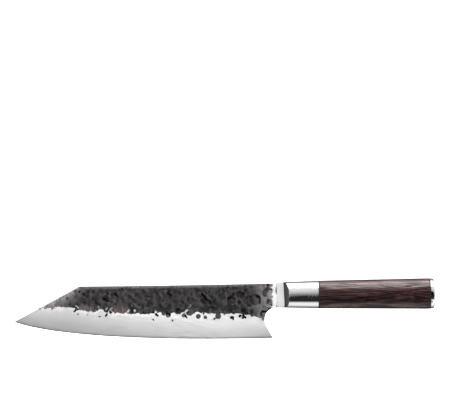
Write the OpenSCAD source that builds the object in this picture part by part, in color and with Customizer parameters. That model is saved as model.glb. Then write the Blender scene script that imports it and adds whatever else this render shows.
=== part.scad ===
// Kitchen knife with a clipped tip, a hammered forged blade and a round wooden handle.
// The origin is the centre of the end cap's flat face, on the handle's axis.
// +X points out of the butt, so the blade lies along -X. +Z points to the spine.

/* [Blade] */
// Length of the blade from the bolster to the point
blade_len = 211; // [195:1:240]
// Thickness of the spine at the bolster
blade_t_heel = 2.4; // [2:0.1:3.2]
// Thickness of the spine at the corner of the clip
blade_t_clip = 1.7; // [1.3:0.1:2]
// Thickness left behind the cutting edge
edge_t = 0.3; // [0.15:0.05:0.6]
// Height of the spine above the handle's axis at the bolster
spine_z_heel = 9.3; // [7:0.1:10]
// Height of the spine above the handle's axis at the corner of the clip
spine_z_clip = 8.25; // [6:0.05:10]
// Sag of the spine between its two ends
spine_sag = 0.3; // [0:0.05:1]
// Length of the clip, measured along the handle's axis
clip_len = 52.3; // [35:0.1:70]
// Depth of the point below the handle's axis
tip_depth = 19.5; // [14:0.1:26]
// Length lost at the point, which is left slightly blunt
tip_blunt = 0.4; // [0.2:0.1:1]
// Depth of the heel below the handle's axis
heel_depth = 34.4; // [30:0.1:42]
// Slope of the cutting edge as it leaves the heel, downwards
edge_heel_slope = 0.7; // [0:0.1:3]
// How firmly the edge holds that slope, as a share of its length
edge_heel_pull = 0.145; // [0.05:0.005:0.4]
// Slope of the cutting edge where it reaches the point
edge_tip_slope = 19.9; // [12:0.1:28]
// How firmly the edge holds that slope, as a share of its length
edge_tip_pull = 0.245; // [0.1:0.005:0.4]

/* [Ground bevel] */
// Depth of the top of the bevel below the handle's axis, at the choil
bevel_heel_depth = 20.6; // [17:0.1:24]
// Length of the clip that is ground down to the bevel, next to the point
bevel_clip_len = 22.6; // [10:0.1:35]
// Slope of the top of the bevel as it leaves the choil, upwards
bevel_heel_slope = 17.2; // [5:0.1:25]
// How firmly the top of the bevel holds that slope, as a share of its length
bevel_heel_pull = 0.213; // [0.05:0.001:0.3]
// Slope of the top of the bevel where it reaches the clip, upwards
bevel_tip_slope = 6.2; // [0:0.1:12]
// How firmly the top of the bevel holds that slope, as a share of its length
bevel_tip_pull = 0.56; // [0.2:0.01:0.65]

/* [Choil] */
// Radius of the choil under the bolster
choil_r = 8.85; // [6:0.05:9.4]
// How far the choil reaches forward from the bolster
choil_reach = 9.95; // [9.5:0.05:15]
// Radius of the choil's lower sweep
choil_lower_r = 14; // [9:0.1:18]
// Lean of the straight run down to the heel, from upright
choil_lean = 28.5; // [20:0.5:35]

/* [Bolster] */
// Length of the flat neck
neck_len = 5.6; // [4:0.1:10]
// Thickness of the flat neck
neck_t = 4.4; // [3.4:0.1:6]
// Length of the ferrule from the neck to its back face
ferrule_len = 27.3; // [20:0.1:40]
// Diameter of the ferrule where the neck begins
ferrule_front_d = 20.7; // [20.4:0.1:22]
// Diameter of the ferrule at its back face
ferrule_rear_d = 22.1; // [20.8:0.1:24]
// Length of the scoop from the neck out to the ferrule's side
scoop_len = 3.9; // [2:0.1:6]
// Radius of the scoop
scoop_r = 14; // [10:0.5:30]

/* [Handle] */
// Length of the wood
wood_len = 87.6; // [75:0.1:110]
// Diameter of the wood at the ferrule
wood_front_d = 22.4; // [21:0.1:24]
// Diameter of the wood at the butt
wood_rear_d = 24.6; // [22:0.1:28]
// Thickness of the spacer between the ferrule and the wood
front_spacer_t = 1.1; // [0.6:0.1:3]
// Thickness of the spacer between the wood and the end cap
rear_spacer_t = 0.9; // [0.6:0.1:3]

/* [End cap] */
// Thickness of the end cap outside the handle
cap_t = 3.6; // [3:0.1:6]
// Diameter of the end cap
cap_d = 24.2; // [22:0.1:26]
// Diameter of the flat on the end cap's face
cap_flat_d = 17; // [12:0.1:20]
// Length of the end cap's rounded rim
cap_rim_len = 2; // [1:0.1:2.6]
// Length of the spigot that seats the end cap in the handle
spigot_len = 3.1; // [2:0.1:3.6]

/* [Tang and rod] */
// Length of the tang behind the blade's shoulders
tang_len = 74; // [65:0.5:76]
// Height of the tang
tang_h = 8; // [7:0.1:10]
// Diameter of the rod that carries the tang on to the butt
rod_d = 6; // [5:0.1:7]
// Length of the rod's slotted end, which is welded over the tang
weld_lap = 8; // [6:0.1:14]
// Diameter of the sleeve round the tang
sleeve_d = 13; // [12:0.1:15]
// Length of the sleeve
sleeve_len = 48; // [44:0.5:60]
// Diameter of the hole for the rod and the resin round it
rod_hole_d = 9; // [8:0.1:11]

/* [Fastening] */
// Diameter of the counterbore in the butt
counterbore_d = 16.5; // [15.6:0.1:18]
// Depth of the counterbore in the wood
counterbore_depth = 11; // [10.4:0.1:16]
// Diameter of the washer
washer_d = 14; // [12:0.1:15]
// Thickness of the washer
washer_t = 1.6; // [1:0.1:2]
// Width of the nut across its flats
nut_af = 10; // [9:0.1:11]
// Thickness of the nut
nut_t = 5; // [4:0.1:5]
// Length of rod that stands out of the nut
rod_proud = 1; // [0.4:0.1:1.4]

/* [Clearances] */
// Gap round the tang in its slots
tang_gap = 0.05; // [0.02:0.01:0.2]
// Gap left for glue round a bonded piece
glue_gap = 0.05; // [0.02:0.01:0.2]
// Gap between the rod and the nut's thread
thread_gap = 0.05; // [0.02:0.01:0.1]
// Gap between the rod and the washer
washer_gap = 0.2; // [0.1:0.05:0.4]

/* [Hidden] */
$fn = 96;
// Extra length that carries a cut clear of the surface it goes through
clear = 1;
// Number of slices of the blade between the bolster and the clip, and along the clip
body_slices = 34;
clip_slices = 20;
// Degrees turned by each straight piece of the choil and of the end cap's rim
arc_step = 7.5;
// Halvings that find the place on a curve, which bring it within a thousandth of a millimetre
halvings = 22;
// Number of points across one slice of the blade
slice_points = 6;

// Places along the handle's axis, from the butt to the blade
x_cap = -cap_t;
x_wood_rear = x_cap - rear_spacer_t;
x_wood_front = x_wood_rear - wood_len;
x_ferrule_rear = x_wood_front - front_spacer_t;
x_shoulder = x_ferrule_rear - ferrule_len;
x_seam = x_shoulder - neck_len;
x_tang_end = x_seam + tang_len;
x_rod_front = x_tang_end - weld_lap;
x_sleeve_rear = x_wood_front + sleeve_len;
x_counterbore = x_wood_rear - counterbore_depth;
x_washer_rear = x_counterbore + washer_t;
x_nut_rear = x_washer_rear + nut_t;
x_rod_rear = x_nut_rear + rod_proud;

// The bolster is turned as one cone from the seam to its back face
cone_growth = (ferrule_rear_d - ferrule_front_d) / ferrule_len;
seam_d = ferrule_front_d - cone_growth * neck_len;
front_spacer_d = (ferrule_rear_d + wood_front_d) / 2;
rear_spacer_d = (wood_rear_d + cap_d) / 2;
tang_t = blade_t_heel;
slot_t = tang_t + 2 * tang_gap;
slot_h = tang_h + 2 * tang_gap;

// The blade is laid out in u, the distance forward from the seam, and z
ricasso_depth = seam_d / 2;
corner_u = blade_len - clip_len;
choil_z = -ricasso_depth - choil_r;
choil_lower_u = choil_reach - choil_lower_r;
lean_start = [
  choil_lower_u + choil_lower_r * cos(choil_lean),
  choil_z - choil_lower_r * sin(choil_lean),
];
heel = [lean_start[0] - (lean_start[1] + heel_depth) * tan(choil_lean), -heel_depth];
point = [blade_len, -tip_depth];
bevel_clip_u = blade_len - bevel_clip_len;
edge_curve = blade_curve(heel, -edge_heel_slope, edge_heel_pull, point, edge_tip_slope, edge_tip_pull);
bevel_curve = blade_curve(
  [choil_reach, -bevel_heel_depth], bevel_heel_slope, bevel_heel_pull,
  [bevel_clip_u, top_z(bevel_clip_u)], bevel_tip_slope, bevel_tip_pull
);
bevel_tip_height = top_z(bevel_clip_u) - edge_z(bevel_clip_u);

// The four control points of a curve, from the slope and the pull at both ends
function blade_curve(from, from_slope, from_pull, to, to_slope, to_pull) =
  let (span = to[0] - from[0])
    [
      from,
      from + span * from_pull * [cos(from_slope), sin(from_slope)],
      to - span * to_pull * [cos(to_slope), sin(to_slope)],
      to,
    ];

// A point on a cubic curve
function on_curve(c, t) =
  pow(1 - t, 3) * c[0] + 3 * pow(1 - t, 2) * t * c[1] + 3 * (1 - t) * t * t * c[2] + pow(t, 3) * c[3];

// The place on a curve where it crosses u, by halving
function place_at(c, u, low, high, left) =
  let (middle = (low + high) / 2)
    left == 0 ? middle
    : on_curve(c, middle)[0] < u ? place_at(c, u, middle, high, left - 1)
    : place_at(c, u, low, middle, left - 1);

// The height of a curve at u, level beyond its ends
function curve_z(c, u) =
  u <= c[0][0] ? c[0][1]
  : u >= c[3][0] ? c[3][1]
  : on_curve(c, place_at(c, u, 0, 1, halvings))[1];

function edge_z(u) = curve_z(edge_curve, u);

// Top of the blade: the spine, then the straight clip
function top_z(u) =
  let (s = u / corner_u)
    u < corner_u ? spine_z_heel + (spine_z_clip - spine_z_heel) * s - 4 * spine_sag * s * (1 - s)
    : spine_z_clip - (spine_z_clip + tip_depth) * (u - corner_u) / clip_len;

// Top of the ground bevel, which runs off the clip near the point
function bevel_z(u) = u < bevel_clip_u ? curve_z(bevel_curve, u) : edge_z(u) + bevel_tip_height;

// Half the thickness of the forged flank
function flank_y(u) = (blade_t_heel + (blade_t_clip - blade_t_heel) * u / corner_u) / 2;

// Half the thickness at a height on the blade
function half_y(u, z) =
  let (share = (z - edge_z(u)) / (bevel_z(u) - edge_z(u)))
    share >= 1 ? flank_y(u) : edge_t / 2 + (flank_y(u) - edge_t / 2) * max(share, 0);

// One slice of the blade: the spine, the knee of the bevel and the edge, on both sides
function slice(u) =
  let (
    x = x_seam - u,
    top = top_z(u),
    low = edge_z(u),
    knee = min(bevel_z(u), low + (top - low) * 0.75)
  )
    [
      [x, half_y(u, top), top],
      [x, half_y(u, knee), knee],
      [x, half_y(u, low), low],
      [x, -half_y(u, low), low],
      [x, -half_y(u, knee), knee],
      [x, -half_y(u, top), top],
    ];

function arc(centre, r, from, to) =
  let (steps = ceil(abs(to - from) / arc_step))
    [for (i = [0:steps]) centre + r * [cos(from + (to - from) * i / steps), sin(from + (to - from) * i / steps)]];

// Turns its children's +Z to +X and sets them at a place on the handle's axis
module along_x(x) translate([x, 0, 0]) rotate([0, 90, 0]) children();

// A straight slot through the middle of the handle for the flat tang
module tang_slot(from, to)
  translate([from, -slot_t / 2, -slot_h / 2]) cube([to - from, slot_t, slot_h]);

module blade_body() {
  stations = concat(
    [for (i = [0:body_slices - 1]) corner_u * i / body_slices],
    [for (i = [0:clip_slices]) corner_u + (clip_len - tip_blunt) * i / clip_slices]
  );
  last = (len(stations) - 1) * slice_points;
  polyhedron(
    points = [for (u = stations) each slice(u)],
    faces = concat(
      [for (k = [1:slice_points - 2]) [0, k, k + 1]],
      [for (k = [1:slice_points - 2]) [last, last + k + 1, last + k]],
      [
        for (i = [0:len(stations) - 2], k = [0:slice_points - 1])
          let (
            a = i * slice_points + k,
            b = i * slice_points + (k + 1) % slice_points
          )
            each [[a, b + slice_points, b], [a, a + slice_points, b + slice_points]]
      ]
    )
  );
}

// Everything below the ricasso and behind the choil
module choil_cut() {
  bottom = -heel_depth - clear;
  foot_u = heel[0] - clear * tan(choil_lean);
  outline = concat(
    [[-clear, bottom], [-clear, -ricasso_depth]],
    arc([choil_reach - choil_r, choil_z], choil_r, 90, 0),
    arc([choil_lower_u, choil_z], choil_lower_r, -arc_step, -choil_lean),
    [[foot_u, bottom]]
  );
  rotate([90, 0, 0])
    linear_extrude(height = blade_t_heel + 2 * clear, center = true)
      polygon([for (p = outline) [x_seam - p[0], p[1]]]);
}

module blade() {
  color("dimgray") {
    difference() {
      blade_body();
      choil_cut();
    }
    translate([x_seam, -tang_t / 2, -tang_h / 2]) cube([tang_len, tang_t, tang_h]);
  }
}

// What is milled off one side of the turned bar: the flat of the neck and the scoop behind it
module side_cut() {
  side_r = ferrule_front_d / 2 + cone_growth * scoop_len / 2;
  foot = [x_shoulder, neck_t / 2];
  chord = [scoop_len, side_r - neck_t / 2];
  middle = foot + chord / 2;
  centre = middle + sqrt(scoop_r * scoop_r / (chord * chord) - 0.25) * [-chord[1], chord[0]];
  height = ferrule_rear_d + 2 * clear;
  translate([x_seam - clear, foot[1], -height / 2]) cube([neck_len + clear, height / 2, height]);
  intersection() {
    translate([centre[0], centre[1], -height / 2]) cylinder(r = scoop_r, h = height);
    translate([foot[0] - clear, foot[1], -height / 2]) cube([scoop_len + 2 * clear, height / 2, height]);
  }
}

module bolster() {
  color("silver")
    difference() {
      along_x(x_seam) cylinder(d1 = seam_d, d2 = ferrule_rear_d, h = neck_len + ferrule_len);
      side_cut();
      mirror([0, 1, 0]) side_cut();
      tang_slot(x_seam - clear, x_ferrule_rear + clear);
    }
}

module front_spacer() {
  color("black")
    difference() {
      along_x(x_ferrule_rear) cylinder(d = front_spacer_d, h = front_spacer_t);
      tang_slot(x_ferrule_rear - clear, x_wood_front + clear);
    }
}

module tang_sleeve() {
  color("burlywood")
    difference() {
      along_x(x_wood_front) cylinder(d = sleeve_d, h = sleeve_len);
      tang_slot(x_wood_front - clear, x_tang_end);
      along_x(x_rod_front) cylinder(d = rod_d + 2 * glue_gap, h = x_sleeve_rear - x_rod_front + clear);
    }
}

module tang_rod() {
  color("gray")
    difference() {
      along_x(x_rod_front) cylinder(d = rod_d, h = x_rod_rear - x_rod_front);
      tang_slot(x_rod_front - clear, x_tang_end);
    }
}

module epoxy_bed() {
  color("khaki")
    along_x(x_sleeve_rear)
      difference() {
        cylinder(d = rod_hole_d - 2 * glue_gap, h = x_counterbore - x_sleeve_rear);
        translate([0, 0, -clear])
          cylinder(d = rod_d + 2 * glue_gap, h = x_counterbore - x_sleeve_rear + 2 * clear);
      }
}

module handle() {
  color([0.23, 0.11, 0.11])
    difference() {
      along_x(x_wood_front) cylinder(d1 = wood_front_d, d2 = wood_rear_d, h = wood_len);
      along_x(x_wood_front - clear) cylinder(d = sleeve_d + 2 * glue_gap, h = sleeve_len + clear);
      along_x(x_wood_front) cylinder(d = rod_hole_d, h = wood_len);
      along_x(x_counterbore) cylinder(d = counterbore_d, h = counterbore_depth + clear);
    }
}

module clamp_washer() {
  color("silver")
    along_x(x_counterbore)
      difference() {
        cylinder(d = washer_d, h = washer_t);
        translate([0, 0, -clear]) cylinder(d = rod_d + 2 * washer_gap, h = washer_t + 2 * clear);
      }
}

module tang_nut() {
  color("silver")
    along_x(x_washer_rear)
      difference() {
        cylinder(d = nut_af / cos(30), h = nut_t, $fn = 6);
        translate([0, 0, -clear]) cylinder(d = rod_d + 2 * thread_gap, h = nut_t + 2 * clear);
      }
}

module rear_spacer() {
  color("black")
    along_x(x_wood_rear)
      difference() {
        cylinder(d = rear_spacer_d, h = rear_spacer_t);
        translate([0, 0, -clear]) cylinder(d = counterbore_d, h = rear_spacer_t + 2 * clear);
      }
}

// The cap is turned: the rim is a quarter of an ellipse between its side and its flat face
module end_cap() {
  rim = [for (a = [0:arc_step:90]) [
    cap_flat_d / 2 + (cap_d - cap_flat_d) / 2 * cos(a),
    -cap_rim_len + cap_rim_len * sin(a),
  ]];
  color("silver")
    along_x(0) {
      rotate_extrude() polygon(concat([[0, 0], [0, x_cap], [cap_d / 2, x_cap]], rim));
      translate([0, 0, x_cap - spigot_len])
        cylinder(d = counterbore_d - 2 * glue_gap, h = spigot_len);
    }
}

blade();
bolster();
front_spacer();
tang_sleeve();
tang_rod();
epoxy_bed();
handle();
clamp_washer();
tang_nut();
rear_spacer();
end_cap();
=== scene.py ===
"""Looks of a forged kitchen knife with a clipped tip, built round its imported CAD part.

The blade, bolster, wood and end cap get finer meshes of their own. The thin spacers and the
pieces inside the handle keep their CAD meshes and get materials. All lengths are in metres.
"""

import logging
import math
from collections.abc import Sequence
from dataclasses import dataclass, field
from enum import Enum

import bpy
import numpy as np
from mathutils import Matrix, Vector


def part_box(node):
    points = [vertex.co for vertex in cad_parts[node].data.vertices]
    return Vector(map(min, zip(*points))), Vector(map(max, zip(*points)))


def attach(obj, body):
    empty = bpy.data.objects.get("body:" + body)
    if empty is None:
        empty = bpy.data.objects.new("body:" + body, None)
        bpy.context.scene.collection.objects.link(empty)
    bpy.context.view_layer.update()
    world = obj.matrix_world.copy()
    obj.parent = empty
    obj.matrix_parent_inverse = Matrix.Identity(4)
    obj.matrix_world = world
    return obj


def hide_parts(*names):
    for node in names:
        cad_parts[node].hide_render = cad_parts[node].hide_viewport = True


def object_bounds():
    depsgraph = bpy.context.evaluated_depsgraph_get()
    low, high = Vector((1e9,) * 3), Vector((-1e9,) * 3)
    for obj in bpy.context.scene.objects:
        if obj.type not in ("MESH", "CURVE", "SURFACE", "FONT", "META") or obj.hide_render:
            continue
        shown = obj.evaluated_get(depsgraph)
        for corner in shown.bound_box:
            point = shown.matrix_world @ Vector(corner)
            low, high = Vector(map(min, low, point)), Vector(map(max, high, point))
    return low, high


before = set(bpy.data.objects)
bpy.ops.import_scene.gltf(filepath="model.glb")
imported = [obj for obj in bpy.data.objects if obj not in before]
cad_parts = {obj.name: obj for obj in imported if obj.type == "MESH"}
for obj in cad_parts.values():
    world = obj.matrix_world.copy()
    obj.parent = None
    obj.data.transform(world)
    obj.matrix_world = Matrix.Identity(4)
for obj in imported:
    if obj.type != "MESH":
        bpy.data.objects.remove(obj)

Array = np.ndarray
Colour = tuple[float, float, float, float]
Material = bpy.types.Material
Node = bpy.types.Node
Piece = bpy.types.Object
Socket = bpy.types.NodeSocket
Tree = bpy.types.NodeTree

log = logging.getLogger("knife")

MM = 0.001
BODY = "root"
CAD_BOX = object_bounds()

PHOTO_WIDTH = 450
PHOTO_HEIGHT = 410
PHOTO_SCALE = 0.8 * MM
BUTT_PIXEL = (434.6, 293.5)
PHOTO_TILT = math.radians(0.53)


class Side(Enum):
    """The two flanks of the blade, seen from behind the handle."""

    LEFT = -1
    RIGHT = 1


class Steel(Enum):
    """How a steel surface is finished."""

    POLISHED = "polished"
    SATIN = "satin"
    MACHINED = "machined"


# Node trees


class Graph:
    """Adds nodes to a node tree and links them by socket name."""

    def __init__(self, tree: Tree) -> None:
        """Starts on an empty tree.

        Args:
            tree: The node tree to fill. Its own nodes are removed.
        """
        self.tree = tree
        tree.nodes.clear()

    @staticmethod
    def socket(sockets: Sequence[Socket], key: str | int) -> Socket:
        """Finds a socket by its place or by its name.

        Args:
            sockets: The inputs or outputs of a node.
            key: A place in the list, or the name of a socket that is in use.

        Returns:
            The socket.
        """
        if isinstance(key, int):
            return sockets[key]
        return next(s for s in sockets if s.name == key and s.enabled)

    def add(self, kind: str, inputs: dict[str | int, object] | None = None, **settings: object) -> Node:
        """Adds one node.

        Args:
            kind: The node's type name.
            inputs: Values, or sockets to link from, by the name or place of each input.
            settings: The node's own properties.

        Returns:
            The new node.
        """
        node = self.tree.nodes.new(kind)
        for name, value in settings.items():
            setattr(node, name, value)
        self.feed(node, inputs or {})
        return node

    def feed(self, node: Node, inputs: dict[str | int, object]) -> None:
        """Sets a node's inputs.

        Args:
            node: The node.
            inputs: Values, or sockets to link from, by the name or place of each input.
        """
        for key, value in inputs.items():
            target = self.socket(node.inputs, key)
            if isinstance(value, Socket):
                self.link(value, target)
            else:
                target.default_value = value

    def math(self, operation: str, *values: object, clamp: bool = False) -> Socket:
        """Adds a Math node.

        Args:
            operation: The operation's name.
            values: Its operands.
            clamp: Whether the result is held between 0 and 1.

        Returns:
            The result's socket.
        """
        node = self.add("ShaderNodeMath", dict(enumerate(values)), operation=operation, use_clamp=clamp)
        return node.outputs[0]

    def plus(self, first: object, second: object) -> Socket:
        """The sum of two values."""
        return self.math("ADD", first, second)

    def minus(self, first: object, second: object) -> Socket:
        """The first value less the second."""
        return self.math("SUBTRACT", first, second)

    def times(self, first: object, second: object) -> Socket:
        """The product of two values."""
        return self.math("MULTIPLY", first, second)

    def place(self) -> Socket:
        """The shaded place, in the object's own frame."""
        return self.add("ShaderNodeTexCoord").outputs["Object"]

    def parts(self, vector: Socket) -> Sequence[Socket]:
        """The parts X, Y and Z of a vector, by name."""
        return self.add("ShaderNodeSeparateXYZ", {0: vector}).outputs

    def xyz(self, **parts: object) -> Socket:
        """A vector from its parts X, Y and Z, where a missing part is 0."""
        return self.add("ShaderNodeCombineXYZ", parts).outputs[0]

    def link(self, start: Socket, end: Socket) -> None:
        """Links an output to an input."""
        self.tree.links.new(start, end)

    def vector(self, operation: str, *values: object) -> Socket:
        """Adds a Vector Math node.

        Args:
            operation: The operation's name.
            values: Its operands.

        Returns:
            The result's socket.
        """
        node = self.add("ShaderNodeVectorMath", dict(enumerate(values)), operation=operation)
        return node.outputs["Value"] if operation in ("DISTANCE", "LENGTH", "DOT_PRODUCT") else node.outputs["Vector"]

    def remap(self, value: object, low: float, high: float, to_low: float, to_high: float) -> Socket:
        """Maps a value smoothly from one range to another, held at both ends.

        Args:
            value: The value to map.
            low: Where the range starts.
            high: Where the range ends.
            to_low: The result at the start.
            to_high: The result at the end.

        Returns:
            The result's socket.
        """
        node = self.add(
            "ShaderNodeMapRange",
            {"Value": value, "From Min": low, "From Max": high, "To Min": to_low, "To Max": to_high},
            interpolation_type="SMOOTHSTEP",
        )
        return node.outputs[0]

    def blend(self, factor: object, first: object, second: object) -> Socket:
        """Mixes two colours.

        Args:
            factor: How much of the second colour shows.
            first: The first colour.
            second: The second colour.

        Returns:
            The mixed colour's socket.
        """
        node = self.add("ShaderNodeMix", {"Factor": factor, 6: first, 7: second}, data_type="RGBA")
        return node.outputs[2]

    def sample(self, geometry: object, value: object, index: object, data_type: str) -> Socket:
        """Reads a value at one element of a geometry.

        Args:
            geometry: The geometry.
            value: The value to read.
            index: The element's number.
            data_type: The value's type.

        Returns:
            The value's socket.
        """
        node = self.add("GeometryNodeSampleIndex", {"Geometry": geometry, "Index": index}, data_type=data_type)
        self.link(value, self.socket(node.inputs, "Value"))
        return self.socket(node.outputs, "Value")

    def noise(self, place: object, scale: float, detail: float = 3.0, roughness: float = 0.55) -> Socket:
        """Adds a noise texture.

        Args:
            place: The coordinates that it reads.
            scale: Bumps a metre.
            detail: Octaves.
            roughness: How strong the finer octaves are.

        Returns:
            The noise value's socket.
        """
        values = {"Vector": place, "Scale": scale, "Detail": detail, "Roughness": roughness}
        return self.add("ShaderNodeTexNoise", values).outputs[0]


def new_group(name: str, kind: str, inputs: dict[str, tuple], outputs: dict[str, str]) -> tuple:
    """Makes a node group with named sockets.

    Args:
        name: The group's name.
        kind: ShaderNodeTree or GeometryNodeTree.
        inputs: Each input's socket type and default value, by name. The default may be None.
        outputs: Each output's socket type, by name.

    Returns:
        The group, its graph, the sockets that bring its inputs, and those that take its outputs.
    """
    tree = bpy.data.node_groups.new(name, kind)
    for label, (socket_type, default) in inputs.items():
        socket = tree.interface.new_socket(label, in_out="INPUT", socket_type=socket_type)
        if default is not None:
            socket.default_value = default
    for label, socket_type in outputs.items():
        tree.interface.new_socket(label, in_out="OUTPUT", socket_type=socket_type)
    graph = Graph(tree)
    return tree, graph, graph.add("NodeGroupInput").outputs, graph.add("NodeGroupOutput").inputs


FLOAT = "NodeSocketFloat"
VECTOR = "NodeSocketVector"
GEOMETRY = "NodeSocketGeometry"
INTEGER = "NodeSocketInt"
MATERIAL = "NodeSocketMaterial"


# Shader groups


class ShaderGroups:
    """The effects that several materials share, each built once."""

    def __init__(self) -> None:
        """Builds the groups."""
        self.brushed = self._brushed()
        self.turned = self._turned()
        self.figure = self._figure()

    @staticmethod
    def _brushed() -> Tree:
        """Fine lines left by a belt or an abrasive pad.

        Returns:
            The group. Its Lines output runs from 0 to 1, and Clouds is a broad, soft change of tone.
        """
        tree, graph, given, result = new_group(
            "brushed_lines",
            "ShaderNodeTree",
            {"Along": (FLOAT, 60.0), "Across": (FLOAT, 6000.0), "Slant": (FLOAT, 0.0), "Cloud Scale": (FLOAT, 40.0)},
            {"Lines": FLOAT, "Clouds": FLOAT},
        )
        place = graph.place()
        turn = {"Vector": place, "Rotation": graph.xyz(Y=given["Slant"])}
        turned = graph.add("ShaderNodeVectorRotate", turn, rotation_type="EULER_XYZ")
        stretch = graph.xyz(X=given["Along"], Y=given["Across"], Z=given["Across"])
        lines = graph.noise(graph.vector("MULTIPLY", turned.outputs[0], stretch), 1.0, 2.0, 0.6)
        clouds = graph.add("ShaderNodeTexNoise", {"Vector": place, "Scale": given["Cloud Scale"], "Detail": 2.0})
        graph.link(lines, result["Lines"])
        graph.link(clouds.outputs[0], result["Clouds"])
        return tree

    @staticmethod
    def _turned() -> Tree:
        """Faint rings left by a lathe round the handle's axis.

        Returns:
            The group. Its Rings output is a height from 0 to 1.
        """
        tree, graph, given, result = new_group(
            "turned_rings",
            "ShaderNodeTree",
            {"Pitch": (FLOAT, 5000.0), "Haze Scale": (FLOAT, 90.0)},
            {"Rings": FLOAT, "Haze": FLOAT},
        )
        place = graph.place()
        axis = graph.parts(place)["X"]
        rings = graph.noise(graph.xyz(X=graph.times(axis, given["Pitch"])), 1.0, 3.0, 0.6)
        haze = graph.add("ShaderNodeTexNoise", {"Vector": place, "Scale": given["Haze Scale"], "Detail": 4.0})
        graph.link(rings, result["Rings"])
        graph.link(haze.outputs[0], result["Haze"])
        return tree

    @staticmethod
    def _figure() -> Tree:
        """The growth rings and open pores of a hardwood, cut along the handle.

        Returns:
            The group. Bands is the broad growth rings and Lines the fine ones between them, Streaks
            the long soft grain, Pores the short dark vessels and Ripple the slow wave of the fibres.
        """
        tree, graph, given, result = new_group(
            "wood_figure",
            "ShaderNodeTree",
            {
                "Pith": (VECTOR, (0.0, 0.03, 0.05)),
                "Ring Count": (FLOAT, 700.0),
                "Line Count": (FLOAT, 3600.0),
                "Wander": (FLOAT, 0.003),
                "Knot": (VECTOR, (0.0, 0.0, 0.0)),
                "Knot Reach": (FLOAT, 0.012),
                "Knot Strength": (FLOAT, 0.0),
            },
            {"Bands": FLOAT, "Lines": FLOAT, "Streaks": FLOAT, "Pores": FLOAT, "Ripple": FLOAT},
        )
        place = graph.place()
        drift = graph.noise(graph.vector("MULTIPLY", place, (26.0, 90.0, 90.0)), 1.0, 2.0)
        wander = graph.times(graph.minus(drift, 0.5), given["Wander"])
        across = graph.vector("MULTIPLY", graph.vector("SUBTRACT", place, given["Pith"]), (0.02, 1.0, 1.0))
        gap = graph.vector("MULTIPLY", graph.vector("SUBTRACT", place, given["Knot"]), (0.45, 1.0, 1.0))
        near = graph.math("DIVIDE", graph.vector("LENGTH", gap), given["Knot Reach"])
        pull = graph.times(graph.math("EXPONENT", graph.times(near, -1.0)), given["Knot Strength"])
        radius = graph.plus(graph.plus(graph.vector("LENGTH", across), wander), pull)
        for name, count in (("Bands", "Ring Count"), ("Lines", "Line Count")):
            wave = graph.math("SINE", graph.times(radius, given[count]))
            level = graph.plus(graph.times(wave, 0.5), 0.5)
            graph.link(level, result[name])
        lift = graph.plus(pull, wander)
        bent = graph.vector("ADD", place, graph.xyz(Y=lift, Z=lift))
        streaks = graph.noise(graph.vector("MULTIPLY", bent, (48.0, 1000.0, 1000.0)), 1.0, 3.0, 0.6)
        pores = graph.noise(graph.vector("MULTIPLY", bent, (120.0, 1600.0, 1600.0)), 1.0, 2.0, 0.6)
        ripple = graph.noise(graph.vector("MULTIPLY", bent, (70.0, 420.0, 420.0)), 1.0, 2.0, 0.5)
        graph.link(streaks, result["Streaks"])
        graph.link(graph.remap(pores, 0.36, 0.48, 1.0, 0.0), result["Pores"])
        graph.link(ripple, result["Ripple"])
        return tree


# Finishes


def new_material(name: str) -> tuple[Material, Graph, Node]:
    """Makes a material with one Principled shader.

    Args:
        name: The material's name.

    Returns:
        The material, its graph and the shader node.
    """
    material = bpy.data.materials.new(name)
    material.use_nodes = True
    graph = Graph(material.node_tree)
    shader = graph.add("ShaderNodeBsdfPrincipled")
    output = graph.add("ShaderNodeOutputMaterial")
    graph.link(shader.outputs[0], output.inputs["Surface"])
    return material, graph, shader


def grey(level: float) -> Colour:
    """A neutral colour of one linear level."""
    return (level, level, level, 1.0)


def add_bump(graph: Graph, shader: Node, height: Socket, depth: float, strength: float) -> None:
    """Feeds a height to the shader's normal.

    Args:
        graph: The material's graph.
        shader: The Principled node.
        height: The height's socket, from 0 to 1.
        depth: What a height of 1 stands for, in metres.
        strength: The bump's strength.
    """
    bump = graph.add("ShaderNodeBump", {"Height": height, "Distance": depth, "Strength": strength})
    graph.link(bump.outputs[0], shader.inputs["Normal"])


@dataclass(frozen=True)
class SteelFinish:
    """A bare steel surface."""

    name: str
    steel: Steel
    tone: float
    roughness: float
    satin_metal: float = 0.45

    def build(self, groups: ShaderGroups) -> Material:
        """Makes the material.

        Args:
            groups: The shared shader groups.

        Returns:
            The material.
        """
        material, graph, shader = new_material(self.name)
        metal = 1.0
        if self.steel is Steel.POLISHED:
            turned = graph.add("ShaderNodeGroup", node_tree=groups.turned)
            tone = graph.blend(turned.outputs["Haze"], grey(self.tone), grey(self.tone * 0.94))
            rough = graph.remap(turned.outputs["Haze"], 0.3, 0.7, self.roughness * 0.7, self.roughness * 1.5)
            add_bump(graph, shader, turned.outputs["Rings"], 0.002 * MM, 0.5)
        else:
            brushed = graph.add("ShaderNodeGroup", node_tree=groups.brushed)
            if self.steel is Steel.SATIN:
                metal = self.satin_metal
                graph.feed(brushed, {"Along": 4000.0, "Across": 60.0})
            tone = graph.blend(brushed.outputs["Lines"], grey(self.tone), grey(self.tone * 0.85))
            rough = graph.remap(brushed.outputs["Clouds"], 0.3, 0.7, self.roughness * 0.85, self.roughness * 1.15)
            add_bump(graph, shader, brushed.outputs["Lines"], 0.01 * MM, 0.4)
        graph.feed(shader, {"Base Color": tone, "Roughness": rough, "Metallic": metal})
        return material


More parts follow.
